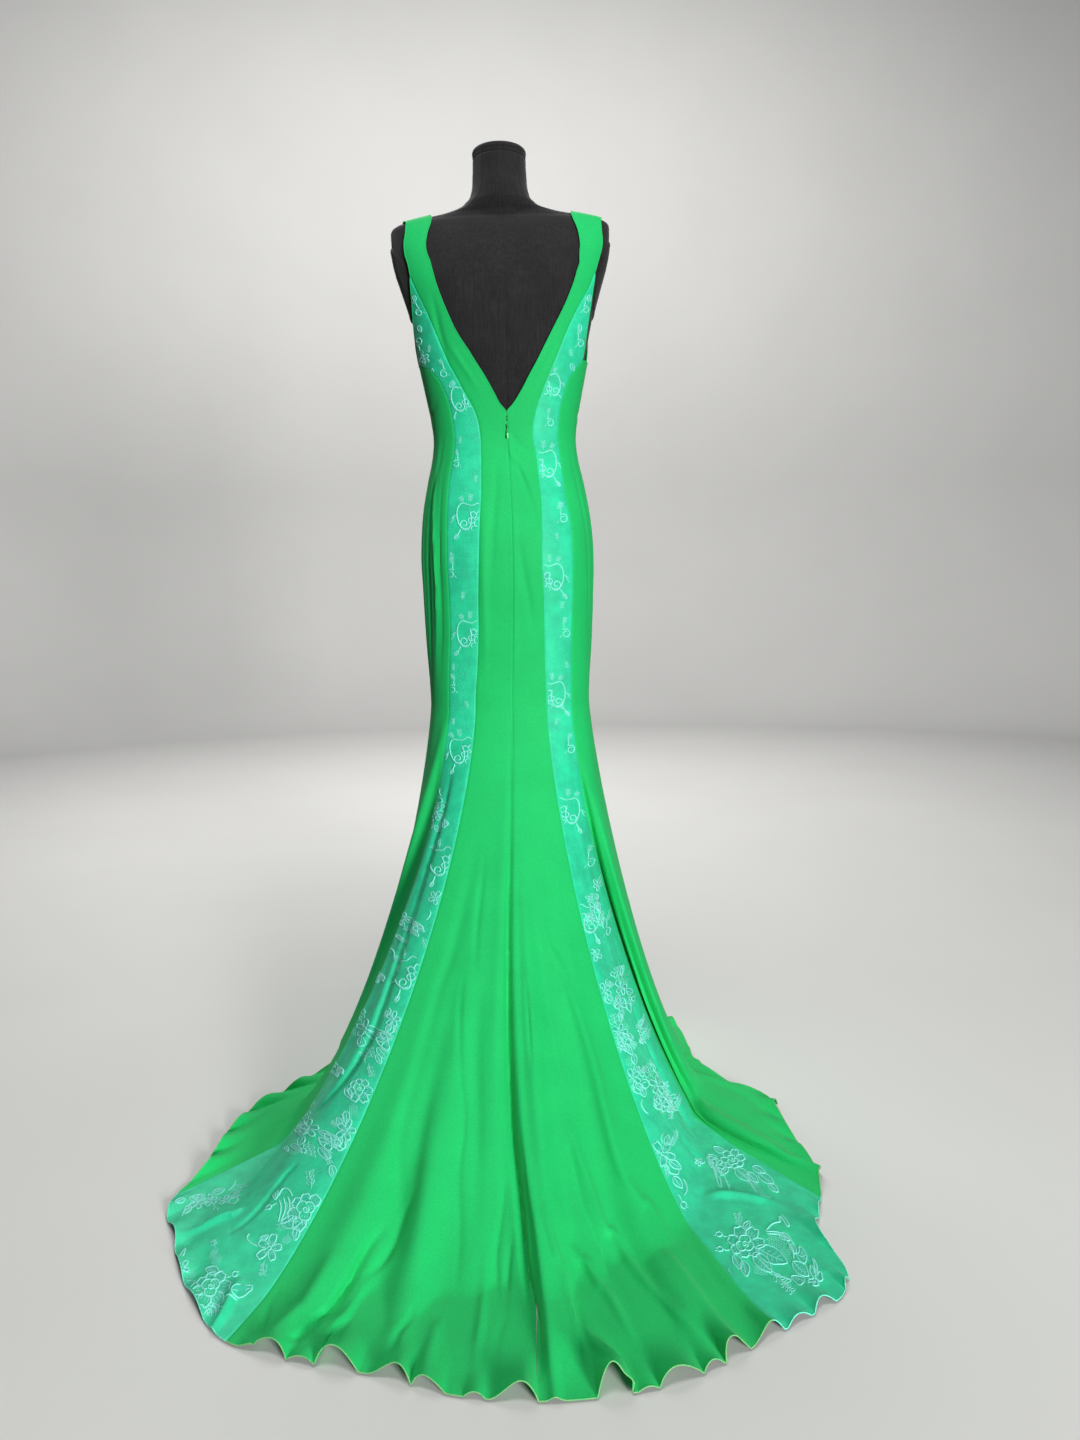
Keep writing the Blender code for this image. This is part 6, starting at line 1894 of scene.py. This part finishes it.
def room_object(name):
    """A pale round floor that curves up into a wall all round the dress."""
    profile = [(0.01, 0.0), (ROOM_RADIUS, 0.0)]
    for k in range(1, ROOM_CURVE_STEPS + 1):
        turn = math.radians(90.0) * k / ROOM_CURVE_STEPS
        profile.append((ROOM_RADIUS + ROOM_CURVE * math.sin(turn), ROOM_CURVE * (1.0 - math.cos(turn))))
    profile.append((ROOM_RADIUS + ROOM_CURVE, ROOM_HEIGHT))
    turns = np.linspace(0.0, 2.0 * math.pi, ROOM_SIDES, endpoint=False)
    rings = [
        np.stack([r * np.cos(turns), r * np.sin(turns), np.full(ROOM_SIDES, z)], axis=1)
        for r, z in profile
    ]
    faces = tube_faces(len(profile), ROOM_SIDES)[:-1]
    return mesh_object(name, np.vstack(rings), [tuple(reversed(face)) for face in faces])


# Settings that a user may change


def colour_setting(name, description, value):
    return FloatVectorProperty(
        name=name, description=description, subtype="COLOR", size=3, min=0.0, max=1.0,
        default=linear(value))


def length_setting(name, description, value):
    return FloatProperty(
        name=name, description=description, unit="LENGTH", min=0.0, precision=5, default=value)


def power_setting(name, description, value):
    return FloatProperty(name=name, description=description, unit="POWER", min=0.0, default=value)


class DressColours(PropertyGroup):
    """Colours of the gown, the form and the studio."""

    crepe: colour_setting("Crepe", "Dyed colour of the crepe panels", "#1AC568")
    lace: colour_setting("Lace ground", "Satin under the net", "#20D69B")
    net: colour_setting("Net", "Threads of the lace's net", "#4CEFC6")
    cord: colour_setting("Cord", "Raised cords of the embroidery", "#8DFBE9")
    # The petals' thread colour is made darker than the lace ground: painted shade beside the cords
    petals: colour_setting("Petals", "Satin stitches inside petals and leaves", "#24C99F")
    hem_thread: colour_setting("Hem thread", "Thread of the rolled hem", "#8FBF7A")
    enamel: colour_setting("Zip enamel", "Enamel of the zip, hook and eye", "#1B8E45")
    cover: colour_setting("Form cover", "Woven cover of the dress form", "#1F1D1F")
    powder: colour_setting("Powder coat", "Coat of the pole and the base", "#1A1A1C")
    floor: colour_setting("Floor", "Paint of the studio floor", "#E4E3E0")


class DressSizes(PropertyGroup):
    """Sizes of the gown's finer pieces."""

    edge_radius: length_setting("Edge radius", "Radius of the turned neck and armhole edges", 0.0010)
    hem_radius: length_setting("Hem radius", "Radius of the rolled hem", 0.0008)
    mesh_step: FloatProperty(
        name="Mesh step", description="Size of the cloth's faces, where 1 is the finest", min=1.0,
        default=1.0)


class StageSettings(PropertyGroup):
    """Light of the studio."""

    key_power: power_setting("Key light", "Power of the low main light, behind the onlooker", 230.0)
    top_power: power_setting("Top light", "Power of the light above the train", 52.0)
    front_power: power_setting("Front light", "Power of the high light from the dress's front", 65.0)
    wall_power: power_setting("Wall light", "Power of the light on the wall behind", 130.0)
    sky: FloatProperty(name="Room light", description="Strength of the even light", min=0.0, default=0.06)


def shared(maker, *colours):
    """A finish that several pieces share, made once."""
    name = maker.__name__
    if name not in FINISHES:
        FINISHES[name] = maker(*colours)
    return FINISHES[name]


FINISHES = {}


def finish_piece(thing, material, body="root", replaces=()):
    thing.data.materials.clear()
    thing.data.materials.append(material)
    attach(thing, body)
    if replaces:
        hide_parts(*replaces)
    return thing


def declare_cloth(thing):
    """Work out a panel's flat size and area, measured on its outer face; nothing keeps them."""
    mesh = thing.data
    count = len(mesh.vertices) // 2
    area = sum(face.area for face in mesh.polygons if max(face.vertices) < count)
    uv = np.zeros(len(mesh.loops) * 2, dtype=np.float32)
    mesh.uv_layers["metres"].data.foreach_get("uv", uv)
    spans = np.ptp(uv.reshape(-1, 2), axis=0)
    width, length = float(spans[0]), float(spans[1])
    width = min(max(width, 1.01 * area / length), 3.2 * area / length)


BACK_PANELS = (
    ("crepe_centre_back_left", 0.0, 1.0, SHOULDER, (BACK_NECK, LACE_TOP), "centre_back_left"),
    ("crepe_centre_back_right", -1.0, 0.0, SHOULDER, (LACE_TOP, BACK_NECK), "centre_back_right"),
    ("crepe_side_back_left", 2.0, 3.0, UNDERARM, (SHOULDER, SHOULDER), "side_left"),
    ("crepe_side_back_right", -3.0, -2.0, UNDERARM, (SHOULDER, SHOULDER), "side_right"),
)
LACE_PANELS = (
    ("lace_panel_left", 1.0, 2.0, LACE_TOP, (LACE_TOP, UNDERARM), "lace_back_left"),
    ("lace_panel_right", -2.0, -1.0, LACE_TOP, (UNDERARM, LACE_TOP), "lace_back_right"),
)
LACE_MESH_STEP = 0.72
CENTRE_MESH_STEP = 0.76


class DRESS_OT_crepe_back(Operator):
    """Make the crepe panels of the back and the side backs."""

    bl_idname = "dress.crepe_back"
    bl_label = "Crepe Back Panels"

    def execute(self, context):
        crepe = shared(crepe_material, context.scene.dress_colours.crepe)
        step = context.scene.dress_sizes.mesh_step
        for name, start, end, top, sewn, node in BACK_PANELS:
            fine = CENTRE_MESH_STEP if max(abs(start), abs(end)) == 1.0 else 1.0
            panel = cloth_panel(name, start + EDGE_INSET, end - EDGE_INSET, top, sewn, step * fine)
            finish_piece(panel, crepe, replaces=[node])
            declare_cloth(panel)
        return {"FINISHED"}


class DRESS_OT_crepe_front(Operator):
    """Make the front with its two straps."""

    bl_idname = "dress.crepe_front"
    bl_label = "Crepe Front"

    def execute(self, context):
        crepe = shared(crepe_material, context.scene.dress_colours.crepe)
        front = front_object("crepe_front", context.scene.dress_sizes.mesh_step)
        finish_piece(front, crepe, replaces=["front"])
        declare_cloth(front)
        return {"FINISHED"}


class DRESS_OT_lace(Operator):
    """Make the two lace inserts on their satin ground."""

    bl_idname = "dress.lace"
    bl_label = "Lace Inserts"

    def execute(self, context):
        colours = context.scene.dress_colours
        lace = shared(lace_material, colours.lace, colours.net)
        step = context.scene.dress_sizes.mesh_step * LACE_MESH_STEP
        for name, start, end, top, sewn, node in LACE_PANELS:
            panel = cloth_panel(name, start + EDGE_INSET, end - EDGE_INSET, top, sewn, step)
            finish_piece(panel, lace, replaces=[node])
            declare_cloth(panel)
        return {"FINISHED"}


class DRESS_OT_embroidery(Operator):
    """Lay the corded flowers, leaves and tendrils on the lace."""

    bl_idname = "dress.embroidery"
    bl_label = "Corded Embroidery"

    def execute(self, context):
        colours = context.scene.dress_colours
        for side, word in ((1, "left"), (-1, "right")):
            cords = cords_object("embroidery_cords_" + word, side)
            finish_piece(cords, shared(cord_material, colours.cord))
            petals = fills_object("embroidery_petals_" + word, side)
            finish_piece(petals, shared(satin_stitch_material, colours.petals))
        return {"FINISHED"}


class DRESS_OT_edges(Operator):
    """Turn in the neck and armhole edges and roll the hem."""

    bl_idname = "dress.edges"
    bl_label = "Edges and Hem"

    def execute(self, context):
        colours, sizes = context.scene.dress_colours, context.scene.dress_sizes
        edges = edge_object("neck_and_armhole_edges", sizes.edge_radius, sizes.mesh_step)
        finish_piece(edges, shared(crepe_material, colours.crepe))
        crepe_hem = hem_object("rolled_hem_crepe", CREPE_SPANS, sizes.hem_radius)
        crepe_thread = hem_material("overlocked_crepe_hem", colours.crepe, colours.hem_thread)
        finish_piece(crepe_hem, crepe_thread)
        lace_hem = hem_object("rolled_hem_lace", LACE_SPANS, sizes.hem_radius)
        lace_thread = hem_material("overlocked_lace_hem", colours.lace, colours.cord)
        finish_piece(lace_hem, lace_thread)
        return {"FINISHED"}


class DRESS_OT_fastenings(Operator):
    """Make the hook, the eye, and the zip's slider and pull tab."""

    bl_idname = "dress.fastenings"
    bl_label = "Hook, Eye and Zip"

    def execute(self, context):
        enamel = painted_metal("enamelled_zinc", context.scene.dress_colours.enamel, 0.32, 0.35, 0.8)
        for name in ("hook", "eye"):
            finish_piece(wire_object(name + "_wire", name), enamel, replaces=[name])
        finish_piece(slider_object("slider_body"), enamel, replaces=["zip_slider"])
        finish_piece(slider_bridge("slider_bridge"), enamel)
        finish_piece(pull_object("pull_tab_drop"), enamel, "pull_tab", ["zip_pull"])
        return {"FINISHED"}


class DRESS_OT_form(Operator):
    """Make the dress form's cover, neck cap and arm plates."""

    bl_idname = "dress.form"
    bl_label = "Dress Form"

    def execute(self, context):
        cover = shared(cover_material, context.scene.dress_colours.cover)
        finish_piece(form_object(), cover, replaces=["form_torso"])
        finish_piece(cap_object(), cover, replaces=["neck_cap"])
        for side, word in ((1, "left"), (-1, "right")):
            finish_piece(arm_plate("form_arm_plate_" + word, side), cover)
        return {"FINISHED"}


class DRESS_OT_stand(Operator):
    """Finish the pole and the base in powder coat."""

    bl_idname = "dress.stand"
    bl_label = "Stand"

    def execute(self, context):
        coat = painted_metal("powder_coated_steel", context.scene.dress_colours.powder, 0.45, 0.0, 1.4)
        for node in ("stand_base", "stand_pole"):
            materials = bpy.data.objects[node].data.materials
            materials.clear()
            materials.append(coat)
        return {"FINISHED"}


class DRESS_OT_stage(Operator):
    """Set up the pale floor, the soft light and the camera."""

    bl_idname = "dress.stage"
    bl_label = "Studio"

    def execute(self, context):
        scene = context.scene
        floor = room_object("studio_floor")
        floor.data.materials.append(floor_material(scene.dress_colours.floor))
        floor.visible_diffuse = False    # as with black flags, no light from below
        stage = scene.dress_stage
        add_light("key_light", (-1.6, 4.5, 1.05), 1.1, stage.key_power)
        add_light("top_light", (0.1, 0.9, 4.4), 1.4, stage.top_power)
        add_light("front_light", (0.3, -2.3, 3.3), 2.0, stage.front_power)
        add_light("wall_light", (0.0, -3.0, 4.2), 3.0, stage.wall_power, (0.0, -6.4, 1.2))
        world = bpy.data.worlds.new("studio_world")
        world.use_nodes = True
        background = world.node_tree.nodes["Background"]
        background.inputs["Color"].default_value = (*linear("#EEF0F2"), 1.0)
        background.inputs["Strength"].default_value = stage.sky
        scene.world = world
        scene.view_settings.view_transform = "Standard"
        add_camera()
        return {"FINISHED"}


class DRESS_PT_sidebar(Panel):
    """Lists the pieces of the gown and its settings."""

    bl_label = "Mermaid Dress"
    bl_idname = "DRESS_PT_sidebar"
    bl_space_type = "VIEW_3D"
    bl_region_type = "UI"
    bl_category = "Dress"

    def draw(self, context):
        for operator in OPERATORS:
            self.layout.operator(operator.bl_idname)
        for name, group in SETTINGS.items():
            box = self.layout.box()
            for setting in group.__annotations__:
                box.prop(getattr(context.scene, name), setting)


OPERATORS = (
    DRESS_OT_crepe_back, DRESS_OT_crepe_front, DRESS_OT_lace, DRESS_OT_embroidery, DRESS_OT_edges,
    DRESS_OT_fastenings, DRESS_OT_form, DRESS_OT_stand, DRESS_OT_stage,
)
SETTINGS = {"dress_colours": DressColours, "dress_sizes": DressSizes, "dress_stage": StageSettings}
CLASSES = (*SETTINGS.values(), *OPERATORS, DRESS_PT_sidebar)


def register():
    for one in CLASSES:
        bpy.utils.register_class(one)
    for name, group in SETTINGS.items():
        setattr(bpy.types.Scene, name, PointerProperty(type=group))


def unregister():
    for name in SETTINGS:
        delattr(bpy.types.Scene, name)
    for one in reversed(CLASSES):
        bpy.utils.unregister_class(one)


def main():
    register()
    bpy.ops.dress.crepe_back()
    bpy.ops.dress.crepe_front()
    bpy.ops.dress.lace()
    bpy.ops.dress.embroidery()
    bpy.ops.dress.edges()
    bpy.ops.dress.fastenings()
    bpy.ops.dress.form()
    bpy.ops.dress.stand()
    bpy.ops.dress.stage()


if __name__ == "__main__":
    main()
